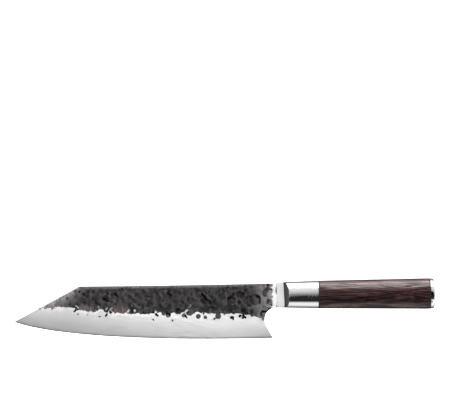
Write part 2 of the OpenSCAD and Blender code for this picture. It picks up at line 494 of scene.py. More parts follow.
@dataclass(frozen=True)
class BladeFinish:
    """Forge-black hammered steel above, satin ground steel below, in one surface.

    The mesh carries these attributes: forge, the height of the ground plane over the forged skin
    in millimetres; relief, from -1 in a pit to 1 on a crest, which the skin's colour turns into a
    painted highlight on crests and painted shade in pits; rubbed, where the skin is worn pale and
    where a highlight is painted pale along the clip's edge; stain, from -1 in a crevice to 1 on a
    bare spot, which also holds painted shade in crevices and dimples and a painted highlight round
    the dimples' rims; oxide, where the skin is brown; and bevel_run, from 0 at the edge to 1 at the
    top of the bevel.
    """

    name: str = "blade_steel"
    scale_tone: float = 0.067
    painted_crest_highlight_tone: float = 0.19
    painted_crest_highlight_share: float = 0.7
    painted_shade_tone: float = 0.003
    painted_pit_shade_share: float = 0.65
    rubbed_and_highlight_tone: float = 0.5
    bare_and_highlight_tone: float = 0.97
    brown: Colour = (0.3, 0.235, 0.225, 1.0)
    tint: tuple[float, float, float] = (1.0, 0.94, 0.98)
    specular: float = 0.2
    ground_top: float = 0.97
    shaded_ground_edge: float = 0.68
    shaded_ground_heel: float = 0.82
    line_tone: float = 0.45

    def build(self, groups: ShaderGroups) -> Material:
        """Makes the material.

        Args:
            groups: The shared shader groups.

        Returns:
            The material.
        """
        material, graph, shader = new_material(self.name)
        read = {
            name: graph.add("ShaderNodeAttribute", attribute_name=name).outputs["Fac"]
            for name in ("forge", "relief", "rubbed_and_edge_highlight", "stain_and_painted_light", "oxide", "bevel_run")
        }
        place = graph.place()
        fine = graph.noise(place, 2600.0, 4.0, 0.65)
        blotch = graph.noise(place, 420.0, 5.0, 0.62)
        crumbs = graph.plus(graph.times(fine, 0.06), graph.times(blotch, 0.14))
        ragged = graph.plus(read["forge"], graph.minus(crumbs, 0.1))
        forged = graph.remap(ragged, -0.001, 0.005, 0.0, 1.0)
        skin = self._skin(graph, groups, read, blotch, fine)
        ground, lines = self._ground(graph, groups, read)
        colour = graph.blend(forged, ground, skin)
        # Bare spots turn pale, and so does the painted highlight round the dimples' rims.
        colour = graph.blend(graph.math("MAXIMUM", read["stain_and_painted_light"], 0.0), colour, grey(self.bare_and_highlight_tone))
        skin_rough = graph.remap(blotch, 0.3, 0.7, 0.36, 0.55)
        ground_rough = graph.remap(lines, 0.3, 0.7, 0.3, 0.4)
        rough = graph.add("ShaderNodeMix", {"Factor": forged, 2: ground_rough, 3: skin_rough}, data_type="FLOAT")
        graph.feed(
            shader,
            {
                "Base Color": colour,
                "Roughness": rough.outputs[0],
                "Metallic": graph.remap(forged, 0.0, 1.0, 1.0, 0.8),
                "Specular IOR Level": self.specular,
            },
        )
        scaly = graph.plus(graph.times(blotch, 0.7), graph.times(fine, 0.3))
        height = graph.add(
            "ShaderNodeMix", {"Factor": forged, 2: graph.times(lines, 0.03), 3: scaly}, data_type="FLOAT"
        )
        add_bump(graph, shader, height.outputs[0], 0.2 * MM, 0.6)
        return material

    def _skin(self, graph: Graph, groups: ShaderGroups, read: dict, blotch: object, fine: object) -> Socket:
        """The colour of the forged skin, with its painted highlights and painted shade.

        Args:
            graph: The material's graph.
            groups: The shared shader groups.
            read: The mesh attributes, by name.
            blotch: A broad noise.
            fine: A fine noise.

        Returns:
            The colour's socket.
        """
        place = graph.place()
        cloud = graph.remap(graph.noise(place, 230.0, 3.0, 0.55), 0.38, 0.62, 0.0, 1.0)
        mottle = graph.plus(graph.times(cloud, 0.65), graph.times(graph.remap(blotch, 0.4, 0.6, 0.0, 1.0), 0.35))
        skin = graph.blend(mottle, grey(self.scale_tone * 0.36), grey(self.scale_tone * 1.5))
        strokes = graph.add("ShaderNodeGroup", {"Along": 900.0, "Across": 110.0}, node_tree=groups.brushed)
        worn = graph.plus(graph.times(strokes.outputs["Lines"], 0.4), graph.times(blotch, 0.6))
        streak = graph.remap(worn, 0.4, 0.58, 0.5, 1.1)
        relief = graph.plus(read["relief"], graph.times(graph.minus(fine, 0.5), 0.4))
        # Painted highlight on the hammered crests and painted shade in the pits.
        skin = graph.blend(graph.remap(relief, 0.05, 0.8, 0.0, self.painted_crest_highlight_share), skin, grey(self.painted_crest_highlight_tone))
        skin = graph.blend(graph.remap(relief, -1.1, -0.15, self.painted_pit_shade_share, 0.0), skin, grey(self.painted_shade_tone))
        # Pale where grinding wore the skin, and a highlight painted pale along the clip's edge.
        skin = graph.blend(graph.times(read["rubbed_and_edge_highlight"], streak), skin, grey(self.rubbed_and_highlight_tone))
        left = graph.times(graph.math("MINIMUM", read["rubbed_and_edge_highlight"], 1.0), graph.remap(worn, 0.4, 0.47, 0.45, 0.0))
        skin = graph.blend(left, skin, grey(self.scale_tone * 0.6))
        rusted = graph.times(read["oxide"], graph.remap(strokes.outputs["Lines"], 0.4, 0.6, 0.25, 1.0))
        skin = graph.blend(rusted, skin, self.brown)
        # Painted shade: crevices and dimples in the skin turn dark, deeper crevices darker.
        crevice = graph.math("MULTIPLY", read["stain_and_painted_light"], -1.0, clamp=True)
        return graph.vector("MULTIPLY", graph.blend(crevice, skin, grey(self.painted_shade_tone)), self.tint)

    def _ground(self, graph: Graph, groups: ShaderGroups, read: dict) -> tuple[Socket, Socket]:
        """The colour of the ground bevel, painted in shade towards the edge and in a band that deepens from the heel
        forwards, with a painted highlight just under the forged skin.

        Args:
            graph: The material's graph.
            groups: The shared shader groups.
            read: The mesh attributes, by name.

        Returns:
            The colour's socket and the grind lines' socket.
        """
        belt = {"Along": 90.0, "Across": 3500.0, "Slant": math.radians(-6)}
        brushed = graph.add("ShaderNodeGroup", belt, node_tree=groups.brushed)
        run = graph.remap(read["bevel_run"], 0.0, 0.9, 0.0, 1.0)
        along = graph.parts(graph.place())["X"]
        # Painted shade: the bevel darkens from its top towards the edge, less near the heel.
        edge = graph.blend(graph.remap(along, -0.22, -0.14, 0.0, 1.0), grey(self.shaded_ground_edge), grey(self.shaded_ground_heel))
        tone = graph.blend(run, edge, grey(self.ground_top))
        # Painted shade: a darker band that deepens from the heel forwards and fades just before the tip.
        shade = graph.times(graph.remap(along, -0.26, -0.15, 0.24, 0.0), graph.remap(along, -0.335, -0.29, 0.0, 1.0))
        tone = graph.blend(shade, tone, grey(0.0))
        # Painted highlight: the ground turns nearly white just under the forged skin's edge.
        tone = graph.blend(graph.remap(read["forge"], -0.09, -0.01, 0.0, 0.85), tone, grey(1.0))
        lines = brushed.outputs["Lines"]
        return graph.blend(graph.remap(lines, 0.4, 0.75, 0.0, 0.12), tone, grey(self.line_tone)), lines


@dataclass(frozen=True)
class WoodFinish:
    """A hardwood with growth rings, streaks and pores that run along the handle."""

    name: str
    dark: Colour
    warm: Colour
    pale: Colour
    roughness: float
    coat: float
    specular: float = 0.4
    grain_depth: float = 0.3 * MM
    knot: Vector = field(default_factory=Vector)
    knot_strength: float = 0.0

    def build(self, groups: ShaderGroups) -> Material:
        """Makes the material.

        Args:
            groups: The shared shader groups.

        Returns:
            The material.
        """
        material, graph, shader = new_material(self.name)
        knot = {"Knot": self.knot, "Knot Strength": self.knot_strength}
        figure = graph.add("ShaderNodeGroup", knot, node_tree=groups.figure)
        bands, lines, streaks, pores, ripple = (
            figure.outputs[name] for name in ("Bands", "Lines", "Streaks", "Pores", "Ripple")
        )
        colour = graph.blend(graph.remap(bands, 0.0, 1.0, 0.3, 0.75), self.dark, self.warm)
        grain = graph.plus(graph.times(streaks, 0.86), graph.times(lines, 0.14))
        colour = graph.blend(graph.remap(grain, 0.5, 0.62, 0.0, 0.9), colour, self.pale)
        colour = graph.blend(graph.remap(grain, 0.4, 0.5, 0.9, 0.0), colour, self.dark)
        colour = graph.blend(graph.times(pores, 0.7), colour, grey(self.dark[1] * 0.6))
        graph.feed(
            shader,
            {
                "Base Color": colour,
                "Roughness": graph.remap(streaks, 0.3, 0.7, self.roughness * 0.8, self.roughness * 1.3),
                "Coat Weight": graph.remap(grain, 0.42, 0.58, 0.0, self.coat * 1.6),
                "Coat Roughness": 0.18,
                "Specular IOR Level": self.specular,
                "Specular Tint": (1.0, 0.83, 0.85, 1.0),
            },
        )
        height = graph.minus(graph.plus(graph.times(streaks, 0.6), ripple), graph.times(pores, 0.2))
        add_bump(graph, shader, height, self.grain_depth, 0.6)
        return material


@dataclass(frozen=True)
class PlainFinish:
    """A plain matt or glossy material with a little unevenness."""

    name: str
    colour: Colour
    roughness: float
    grain: float = 1500.0

    def build(self) -> Material:
        """Makes the material.

        Returns:
            The material.
        """
        material, graph, shader = new_material(self.name)
        place = graph.place()
        noise = graph.noise(place, self.grain)
        darker = tuple(c * 0.7 for c in self.colour[:3]) + (1.0,)
        rough = graph.remap(noise, 0.3, 0.7, self.roughness * 0.85, self.roughness * 1.15)
        graph.feed(shader, {"Base Color": graph.blend(noise, self.colour, darker), "Roughness": rough})
        add_bump(graph, shader, noise, 0.02 * MM, 0.3)
        return material


@dataclass
class Finishes:
    """Every material of the knife."""

    groups: ShaderGroups = field(default_factory=ShaderGroups)
    made: dict[str, Material] = field(default_factory=dict)

    def __post_init__(self) -> None:
        """Builds the materials."""
        finishes = {
            "blade": BladeFinish(),
            "ferrule": SteelFinish("ferrule_polished", Steel.POLISHED, 0.93, 0.06),
            "neck": SteelFinish("neck_satin", Steel.SATIN, 0.9, 0.34, 0.8),
            "cap": SteelFinish("cap_polished", Steel.POLISHED, 0.9, 0.09),
            # The same steel as the neck painted much darker: painted shade on the scooped faces.
            "scoop": SteelFinish("scoop_shaded_steel", Steel.SATIN, 0.28, 0.4, 0.9),
            # Black, painted as shade in the inner corner at the scoop's foot.
            "corner_shade": PlainFinish("painted_corner_shade", (0.004, 0.004, 0.004, 1.0), 0.95),
            "machined": SteelFinish("machined_steel", Steel.MACHINED, 0.55, 0.35),
            "wood": WoodFinish(
                name="dark_hardwood",
                dark=(0.009, 0.003, 0.003, 1.0),
                warm=(0.061, 0.021, 0.021, 1.0),
                pale=(0.12, 0.053, 0.053, 1.0),
                roughness=0.32,
                coat=0.6,
                specular=0.25,
                knot=Vector((-24 * MM, -12 * MM, 0.0)),
                knot_strength=0.004,
            ),
            "dowel": WoodFinish(
                name="pale_dowel",
                dark=(0.3, 0.19, 0.1, 1.0),
                warm=(0.42, 0.28, 0.15, 1.0),
                pale=(0.5, 0.36, 0.2, 1.0),
                roughness=0.6,
                coat=0.0,
            ),
            "spacer": PlainFinish("black_fibre", (0.022, 0.009, 0.011, 1.0), 0.6),
            "resin": PlainFinish("cured_resin", (0.35, 0.27, 0.12, 1.0), 0.25, 300.0),
        }
        for name, finish in finishes.items():
            plain = isinstance(finish, PlainFinish)
            self.made[name] = finish.build() if plain else finish.build(self.groups)

    def __getitem__(self, name: str) -> Material:
        """The material of one finish."""
        return self.made[name]


# Geometry node trees


class GeometryTools:
    """The geometry node trees that shape pieces, each built once."""

    def __init__(self) -> None:
        """Builds the trees."""
        self.marks = self._marks()
        self.hammered = self._hammered()
        self.lathe = self._lathe()

    @staticmethod
    def _marks() -> Tree:
        """One family of round hammer marks on a plate.

        Returns:
            The tree. Its Depth output is how deep the marks reach at a place, in metres.
        """
        tree, graph, given, result = new_group(
            "hammer_marks",
            "GeometryNodeTree",
            {
                "Plate": (GEOMETRY, None),
                "Place": (VECTOR, None),
                "Spacing": (FLOAT, 0.004),
                "Radius": (FLOAT, 0.003),
                "Least": (FLOAT, 0.5),
                "Deepest": (FLOAT, 0.0001),
                "Flatness": (FLOAT, 3.0),
                "Seed": (INTEGER, 1),
            },
            {"Depth": FLOAT},
        )
        spacing = given["Spacing"]
        points = graph.add(
            "GeometryNodeDistributePointsOnFaces",
            {
                "Mesh": given["Plate"],
                "Distance Min": spacing,
                "Density Max": graph.math("DIVIDE", 4.0, graph.times(spacing, spacing)),
                "Seed": given["Seed"],
            },
            distribute_method="POISSON",
        ).outputs["Points"]
        nearest = graph.add("GeometryNodeSampleNearest", {"Geometry": points, "Sample Position": given["Place"]})
        share = graph.add("FunctionNodeRandomValue", {2: given["Least"], 3: 1.0, "Seed": given["Seed"]})
        own_place = graph.add("GeometryNodeInputPosition").outputs[0]
        centre = graph.sample(points, own_place, nearest.outputs[0], "FLOAT_VECTOR")
        size = graph.sample(points, share.outputs[1], nearest.outputs[0], "FLOAT")
        gap = graph.vector("DISTANCE", given["Place"], centre)
        ratio = graph.math("DIVIDE", gap, graph.times(size, given["Radius"]))
        rise = graph.math("MAXIMUM", graph.minus(1.0, graph.math("POWER", ratio, given["Flatness"])), 0.0)
        bowl = graph.times(rise, rise)
        deep = graph.times(size, given["Deepest"])
        graph.link(graph.times(bowl, deep), result["Depth"])
        return tree

    def _hammered(self) -> Tree:
        """Cuts hammer marks into a blade's forged skin and grinds the bevel through them.

        The mesh brings the attributes side, which way a point faces; flank and ground, half the
        thickness of the plain flank and of the ground planes there; placed, the depth of the marks
        that have a known place, in metres; and bite, how much of the other marks is left there.

        Returns:
            The tree.
        """
        families = {
            "Broad": (0.0064, 0.0042, 0.00011, 2.8),
            "Small": (0.0043, 0.0025, 0.00009, 3.2),
            "Pit": (0.0070, 0.0011, 0.00010, 2.0),
        }
        sizes = {}
        for family, defaults in families.items():
            for size, default in zip(("Spacing", "Radius", "Depth", "Flatness"), defaults):
                sizes[f"{family} {size}"] = (FLOAT, default)
        tree, graph, given, result = new_group(
            "hammered_blade",
            "GeometryNodeTree",
            {
                "Geometry": (GEOMETRY, None),
                "Plate Length": (FLOAT, 0.3),
                "Plate Height": (FLOAT, 0.06),
                "Plate Centre": (VECTOR, None),
                "Face Gap": (FLOAT, 0.02),
                **sizes,
                "Ripple": (FLOAT, 0.00005),
                "Relief Depth": (FLOAT, 0.00005),
                "Relief Reach": (INTEGER, 18),
                "Seed": (INTEGER, 1),
                "Material": (MATERIAL, None),
            },
            {"Geometry": GEOMETRY},
        )
        plate = graph.add("GeometryNodeMeshGrid", {"Size X": given["Plate Length"], "Size Y": given["Plate Height"]})
        sides = graph.add("GeometryNodeJoinGeometry")
        for side in Side:
            gap = graph.times(given["Face Gap"], float(side.value))
            stood = graph.add(
                "GeometryNodeTransform",
                {
                    "Geometry": plate.outputs[0],
                    "Translation": graph.vector("ADD", given["Plate Centre"], graph.xyz(Y=gap)),
                    "Rotation": (math.pi / 2, 0.0, 0.0),
                },
            )
            graph.link(stood.outputs[0], sides.inputs[0])
        named = {}
        for name in ("side", "flank", "ground", "placed", "bite"):
            reader = graph.add("GeometryNodeInputNamedAttribute", {"Name": name}, data_type="FLOAT")
            named[name] = Graph.socket(reader.outputs, "Attribute")
        here = graph.add("GeometryNodeInputPosition").outputs[0]
        parts = graph.parts(here)
        wobble = graph.add("ShaderNodeTexNoise", {"Vector": here, "Scale": 420.0, "Detail": 2.0}).outputs["Color"]
        wobble = graph.vector("MULTIPLY", graph.vector("SUBTRACT", wobble, (0.5, 0.5, 0.5)), (0.0024, 0.0, 0.0024))
        face = graph.times(graph.math("SIGN", graph.plus(named["side"], 0.01)), given["Face Gap"])
        flat = graph.xyz(X=parts["X"], Y=face, Z=parts["Z"])
        place = graph.vector("ADD", flat, wobble)
        depth = 0.0
        for turn, family in enumerate(families):
            marks = graph.add(
                "GeometryNodeGroup",
                {
                    "Plate": sides.outputs[0],
                    "Place": place,
                    "Spacing": given[f"{family} Spacing"],
                    "Radius": given[f"{family} Radius"],
                    "Deepest": given[f"{family} Depth"],
                    "Flatness": given[f"{family} Flatness"],
                    "Seed": graph.plus(given["Seed"], float(turn)),
                },
                node_tree=self.marks,
            )
            depth = graph.plus(marks.outputs["Depth"], depth)
        ripple = graph.noise(flat, 700.0, 3.0, 0.6)
        depth = graph.times(depth, named["bite"])
        depth = graph.plus(depth, graph.times(ripple, given["Ripple"]))
        forged = graph.minus(graph.minus(named["flank"], depth), named["placed"])
        half = graph.math("MINIMUM", forged, named["ground"])
        moved = graph.xyz(X=parts["X"], Y=graph.times(half, named["side"]), Z=parts["Z"])
        blurred = graph.add(
            "GeometryNodeBlurAttribute", {"Value": depth, "Iterations": given["Relief Reach"]}, data_type="FLOAT"
        )
        relief = graph.minus(Graph.socket(blurred.outputs, "Value"), depth)
        kept = given["Geometry"]
        for name, value in (
            ("forge", graph.math("DIVIDE", graph.minus(named["ground"], forged), MM)),
            ("relief", graph.math("DIVIDE", relief, given["Relief Depth"])),
        ):
            store = graph.add("GeometryNodeStoreNamedAttribute", {"Geometry": kept, "Name": name}, data_type="FLOAT")
            graph.link(value, Graph.socket(store.inputs, "Value"))
            kept = store.outputs[0]
        shaped = graph.add("GeometryNodeSetPosition", {"Geometry": kept, "Position": moved})
        real = graph.add("GeometryNodeRealizeInstances", {"Geometry": shaped.outputs[0]})
        dressed = graph.add("GeometryNodeSetMaterial", {"Geometry": real.outputs[0], "Material": given["Material"]})
        graph.link(dressed.outputs[0], result[0])
        return tree

    @staticmethod
    def _lathe() -> Tree:
        """Turns a profile of points (x, radius) round the handle's axis.

        Returns:
            The tree. Profile is a mesh of points in the XZ plane, in order.
        """
        tree, graph, given, result = new_group(
            "turned_piece",
            "GeometryNodeTree",
            {
                "Geometry": (GEOMETRY, None),
                "Segments": (INTEGER, 160),
                "Weld": (FLOAT, 1e-6),
                "Material": (MATERIAL, None),
            },
            {"Geometry": GEOMETRY},
        )
        count = graph.add("GeometryNodeAttributeDomainSize", {"Geometry": given["Geometry"]}, component="MESH")
        steps = graph.plus(given["Segments"], 1.0)
        grid = graph.add("GeometryNodeMeshGrid", {"Vertices X": count.outputs["Point Count"], "Vertices Y": steps})
        index = graph.add("GeometryNodeInputIndex").outputs[0]
        row = graph.math("FLOOR", graph.math("DIVIDE", graph.plus(index, 0.5), steps))
        column = graph.minus(index, graph.times(row, steps))
        turn = graph.times(graph.math("DIVIDE", column, given["Segments"]), math.tau)
        own_place = graph.add("GeometryNodeInputPosition").outputs[0]
        profile = graph.sample(given["Geometry"], own_place, row, "FLOAT_VECTOR")
        parts = graph.parts(profile)
        around = graph.xyz(
            X=parts["X"],
            Y=graph.times(parts["Z"], graph.math("SINE", turn)),
            Z=graph.times(parts["Z"], graph.math("COSINE", turn)),
        )
        shaped = graph.add("GeometryNodeSetPosition", {"Geometry": grid.outputs[0], "Position": around})
        welded = graph.add("GeometryNodeMergeByDistance", {"Geometry": shaped.outputs[0], "Distance": given["Weld"]})
        real = graph.add("GeometryNodeRealizeInstances", {"Geometry": welded.outputs[0]})
        dressed = graph.add("GeometryNodeSetMaterial", {"Geometry": real.outputs[0], "Material": given["Material"]})
        graph.link(dressed.outputs[0], result[0])
        return tree


def new_mesh(name: str, points: Array, faces: Sequence[Sequence[int]]) -> Piece:
    """Makes a mesh object at the origin.

    Args:
        name: The object's name.
        points: Its vertices, in metres.
        faces: Its faces, as lists of vertex numbers.

    Returns:
        The object.
    """
    mesh = bpy.data.meshes.new(name)
    mesh.from_pydata([tuple(p) for p in points], [], [tuple(int(i) for i in f) for f in faces])
    mesh.update()
    obj = bpy.data.objects.new(name, mesh)
    bpy.context.scene.collection.objects.link(obj)
    return obj


def run_tree(obj: Piece, tree: Tree, values: dict[str, object]) -> Piece:
    """Runs a geometry node tree on an object and keeps the result as its plain mesh.

    Args:
        obj: The object, whose mesh is the tree's first input.
        tree: The tree.
        values: The tree's other inputs, by name.

    Returns:
        The same object, with the shaped mesh.
    """
    modifier = obj.modifiers.new("shape", "NODES")
    modifier.node_group = tree
    for item in tree.interface.items_tree:
        if item.item_type == "SOCKET" and item.in_out == "INPUT" and item.name in values:
            modifier[item.identifier] = values[item.name]
    bpy.context.view_layer.update()
    evaluated = obj.evaluated_get(bpy.context.evaluated_depsgraph_get())
    shaped = bpy.data.meshes.new_from_object(evaluated)
    obj.modifiers.remove(modifier)
    obj.data = shaped
    return obj


def face_outwards(obj: Piece) -> None:
    """Turns a closed mesh's faces outwards, if its volume comes out negative.

    Args:
        obj: The object.
    """
    mesh = obj.data
    mesh.calc_loop_triangles()
    points = np.array([v.co for v in mesh.vertices])
    corners = points[np.array([t.vertices for t in mesh.loop_triangles])]
    volume = np.einsum("ij,ij->i", corners[:, 0], np.cross(corners[:, 1], corners[:, 2])).sum()
    if volume < 0:
        mesh.flip_normals()


def smooth(obj: Piece, crease: float) -> None:
    """Shades a mesh smooth, apart from edges sharper than an angle.

    Args:
        obj: The object.
        crease: The angle, in degrees.
    """
    obj.data.shade_smooth()
    obj.data.set_sharp_from_angle(angle=math.radians(crease))


def place_piece(obj: Piece, node: str, slot: str) -> None:
    """Sets a finished piece in the frame in place of its CAD node.

    Args:
        obj: The piece.
        node: The CAD node it stands for.
        slot: Not used.
    """
    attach(obj, BODY)
    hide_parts(node)
    log.info("%s: %d faces in place of %s", obj.name, len(obj.data.polygons), node)


# The blade


def cubic(ends: Sequence[Array], t: Array) -> Array:
    """Points on a cubic curve.

    Args:
        ends: Its four control points.
        t: Places along it, from 0 to 1.

    Returns:
        The points, one a row.
    """
    t = t[:, None]
    a, b, c, d = ends
    return (1 - t) ** 3 * a + 3 * (1 - t) ** 2 * t * b + 3 * (1 - t) * t**2 * c + t**3 * d


def pulled_curve(
    start: Array, start_slope: float, start_pull: float, end: Array, end_slope: float, end_pull: float
) -> list[Array]:
    """The control points of a curve, from its slope and pull at both ends.

    Args:
        start: Where it starts.
        start_slope: Its slope there, in degrees.
        start_pull: How firmly it holds that slope, as a share of its length.
        end: Where it ends.
        end_slope: Its slope there, in degrees.
        end_pull: How firmly it holds that slope.

    Returns:
        The four control points.
    """
    span = end[0] - start[0]
    first = np.array([math.cos(math.radians(start_slope)), math.sin(math.radians(start_slope))])
    last = np.array([math.cos(math.radians(end_slope)), math.sin(math.radians(end_slope))])
    return [start, start + span * start_pull * first, end - span * end_pull * last, end]


@dataclass
class BladeShape:
    """The blade's outline and thickness. u runs forward from the bolster's seam, and z is up.

    A curve is its slope in degrees and its pull at the start, then the same at the end.
    """

    seam_x: float
    length: float = 211 * MM
    spine_heel: float = 9.3 * MM
    spine_clip: float = 8.25 * MM
    spine_sag: float = 0.3 * MM
    clip_length: float = 52.3 * MM
    tip_depth: float = 19.5 * MM
    tip_blunt: float = 0.4 * MM
    heel_depth: float = 34.4 * MM
    ricasso_depth: float = 10.2064 * MM
    choil_radius: float = 8.85 * MM
    choil_reach: float = 9.95 * MM
    choil_lower_radius: float = 14 * MM
    choil_lean: float = 28.5
    thickness_heel: float = 2.4 * MM
    thickness_clip: float = 1.7 * MM
    edge_thickness: float = 0.3 * MM
    edge_curve: tuple[float, float, float, float] = (-0.7, 0.145, 19.9, 0.245)
    bevel_curve: tuple[float, float, float, float] = (17.2, 0.213, 6.2, 0.56)
    bevel_start_depth: float = 20.6 * MM
    bevel_tip_length: float = 22.6 * MM
    curve_steps: int = 900

    def __post_init__(self) -> None:
        """Works out the curves from the sizes."""
        self.corner_u = self.length - self.clip_length
        self.choil_z = -self.ricasso_depth - self.choil_radius
        lower_u = self.choil_reach - self.choil_lower_radius
        lean = math.radians(self.choil_lean)
        self.lower_centre = np.array([lower_u, self.choil_z])
        start = self.lower_centre + self.choil_lower_radius * np.array([math.cos(lean), -math.sin(lean)])
        self.heel = np.array([start[0] - (start[1] + self.heel_depth) * math.tan(lean), -self.heel_depth])
        self.tip = np.array([self.length, -self.tip_depth])
        steps = np.linspace(0, 1, self.curve_steps)
        start_slope, start_pull, end_slope, end_pull = self.edge_curve
        self.edge_table = cubic(pulled_curve(self.heel, start_slope, start_pull, self.tip, end_slope, end_pull), steps)
        bevel_u = self.length - self.bevel_tip_length
        bevel_end = np.array([bevel_u, float(self.top_z(np.array([bevel_u]))[0])])
        bevel_start = np.array([self.choil_reach, -self.bevel_start_depth])
        start_slope, start_pull, end_slope, end_pull = self.bevel_curve
        self.bevel_table = cubic(
            pulled_curve(bevel_start, start_slope, start_pull, bevel_end, end_slope, end_pull), steps
        )
        self.bevel_tip_height = bevel_end[1] - float(self.edge_z(np.array([bevel_u]))[0])
        self.bevel_u = bevel_u

    def edge_z(self, u: Array) -> Array:
        """Height of the cutting edge at each u."""
        return np.interp(u, self.edge_table[:, 0], self.edge_table[:, 1])

    def top_z(self, u: Array) -> Array:
        """Height of the spine, and of the clip in front of it, at each u."""
        s = u / self.corner_u
        spine = self.spine_heel + (self.spine_clip - self.spine_heel) * s - 4 * self.spine_sag * s * (1 - s)
        clip = self.spine_clip - (self.spine_clip + self.tip_depth) * (u - self.corner_u) / self.clip_length
        return np.where(u < self.corner_u, spine, clip)

    def bevel_z(self, u: Array) -> Array:
        """Height of the top of the ground bevel at each u."""
        inner = np.interp(u, self.bevel_table[:, 0], self.bevel_table[:, 1])
        return np.where(u < self.bevel_u, inner, self.edge_z(u) + self.bevel_tip_height)

    def flank(self, u: Array) -> Array:
        """Half the thickness of the plain forged flank at each u."""
        return (self.thickness_heel + (self.thickness_clip - self.thickness_heel) * u / self.corner_u) / 2

    def rear_u(self, z: Array) -> Array:
        """The blade's back outline, from the heel up the choil to the bolster's seam, at each height."""
        lean = math.radians(self.choil_lean)
        below = self.choil_z - z
        on_lower = below / self.choil_lower_radius
        lower = self.lower_centre[0] + self.choil_lower_radius * np.sqrt(np.clip(1 - on_lower**2, 0, 1))
        start_below = self.choil_lower_radius * math.sin(lean)
        start_u = self.lower_centre[0] + self.choil_lower_radius * math.cos(lean)
        straight = start_u - (below - start_below) * math.tan(lean)
        on_upper = (z - self.choil_z) / self.choil_radius
        upper = self.choil_reach - self.choil_radius + self.choil_radius * np.sqrt(np.clip(1 - on_upper**2, 0, 1))
        u = np.where(below > start_below, straight, np.where(below > 0, lower, upper))
        return np.where(z > -self.ricasso_depth, 0.0, u)


@dataclass(frozen=True)
class OxideBand:
    """A brown band on the forged skin, along the spine or just above the ground bevel. In millimetres."""

    start: float
    end: float
    width: float
    at_spine: bool
    strength: float = 1.0


# Hammer marks that are plain to see on the left flank, painted with shade inside where they lie in the skin and with a
# highlight round the rim: distance from the seam, height, radius and depth in millimetres.
DIMPLES = (
    (17.3, -3.3, 4.2, 0.1), (33, -9.3, 2.1, 0.05), (20, -16.1, 1.4, 0.06), (5.3, -5.4, 2.4, 0.18),
    (10.9, -16.3, 1.4, 0.1), (11.2, -19.4, 1.2, 0.08), (58.4, -3.9, 2.7, 0.06), (36.3, -3.5, 3.2, 0.1),
    (38.6, -9.9, 3.2, 0.05), (44, -0.8, 2.9, 0.05), (63.1, -16.7, 1.7, 0.05), (57.4, -17.5, 1.3, 0.06),
    (47.2, -17, 2.2, 0.05), (27.5, -18.1, 1, 0.05), (86.3, -9.1, 2.2, 0.05), (86.3, -9.3, 1.4, 0.05),
    (87.2, -15.5, 1.9, 0.06), (69.4, -13.3, 3.4, 0.05), (74.5, -15.7, 1.6, 0.05), (90.9, -14.2, 1.4, 0.05),
    (116.4, -12.4, 1.8, 0.06), (108.9, -12.9, 1.8, 0.06), (185.4, -8.6, 1.1, 0.06), (190, -9.2, 1, 0.05),
)
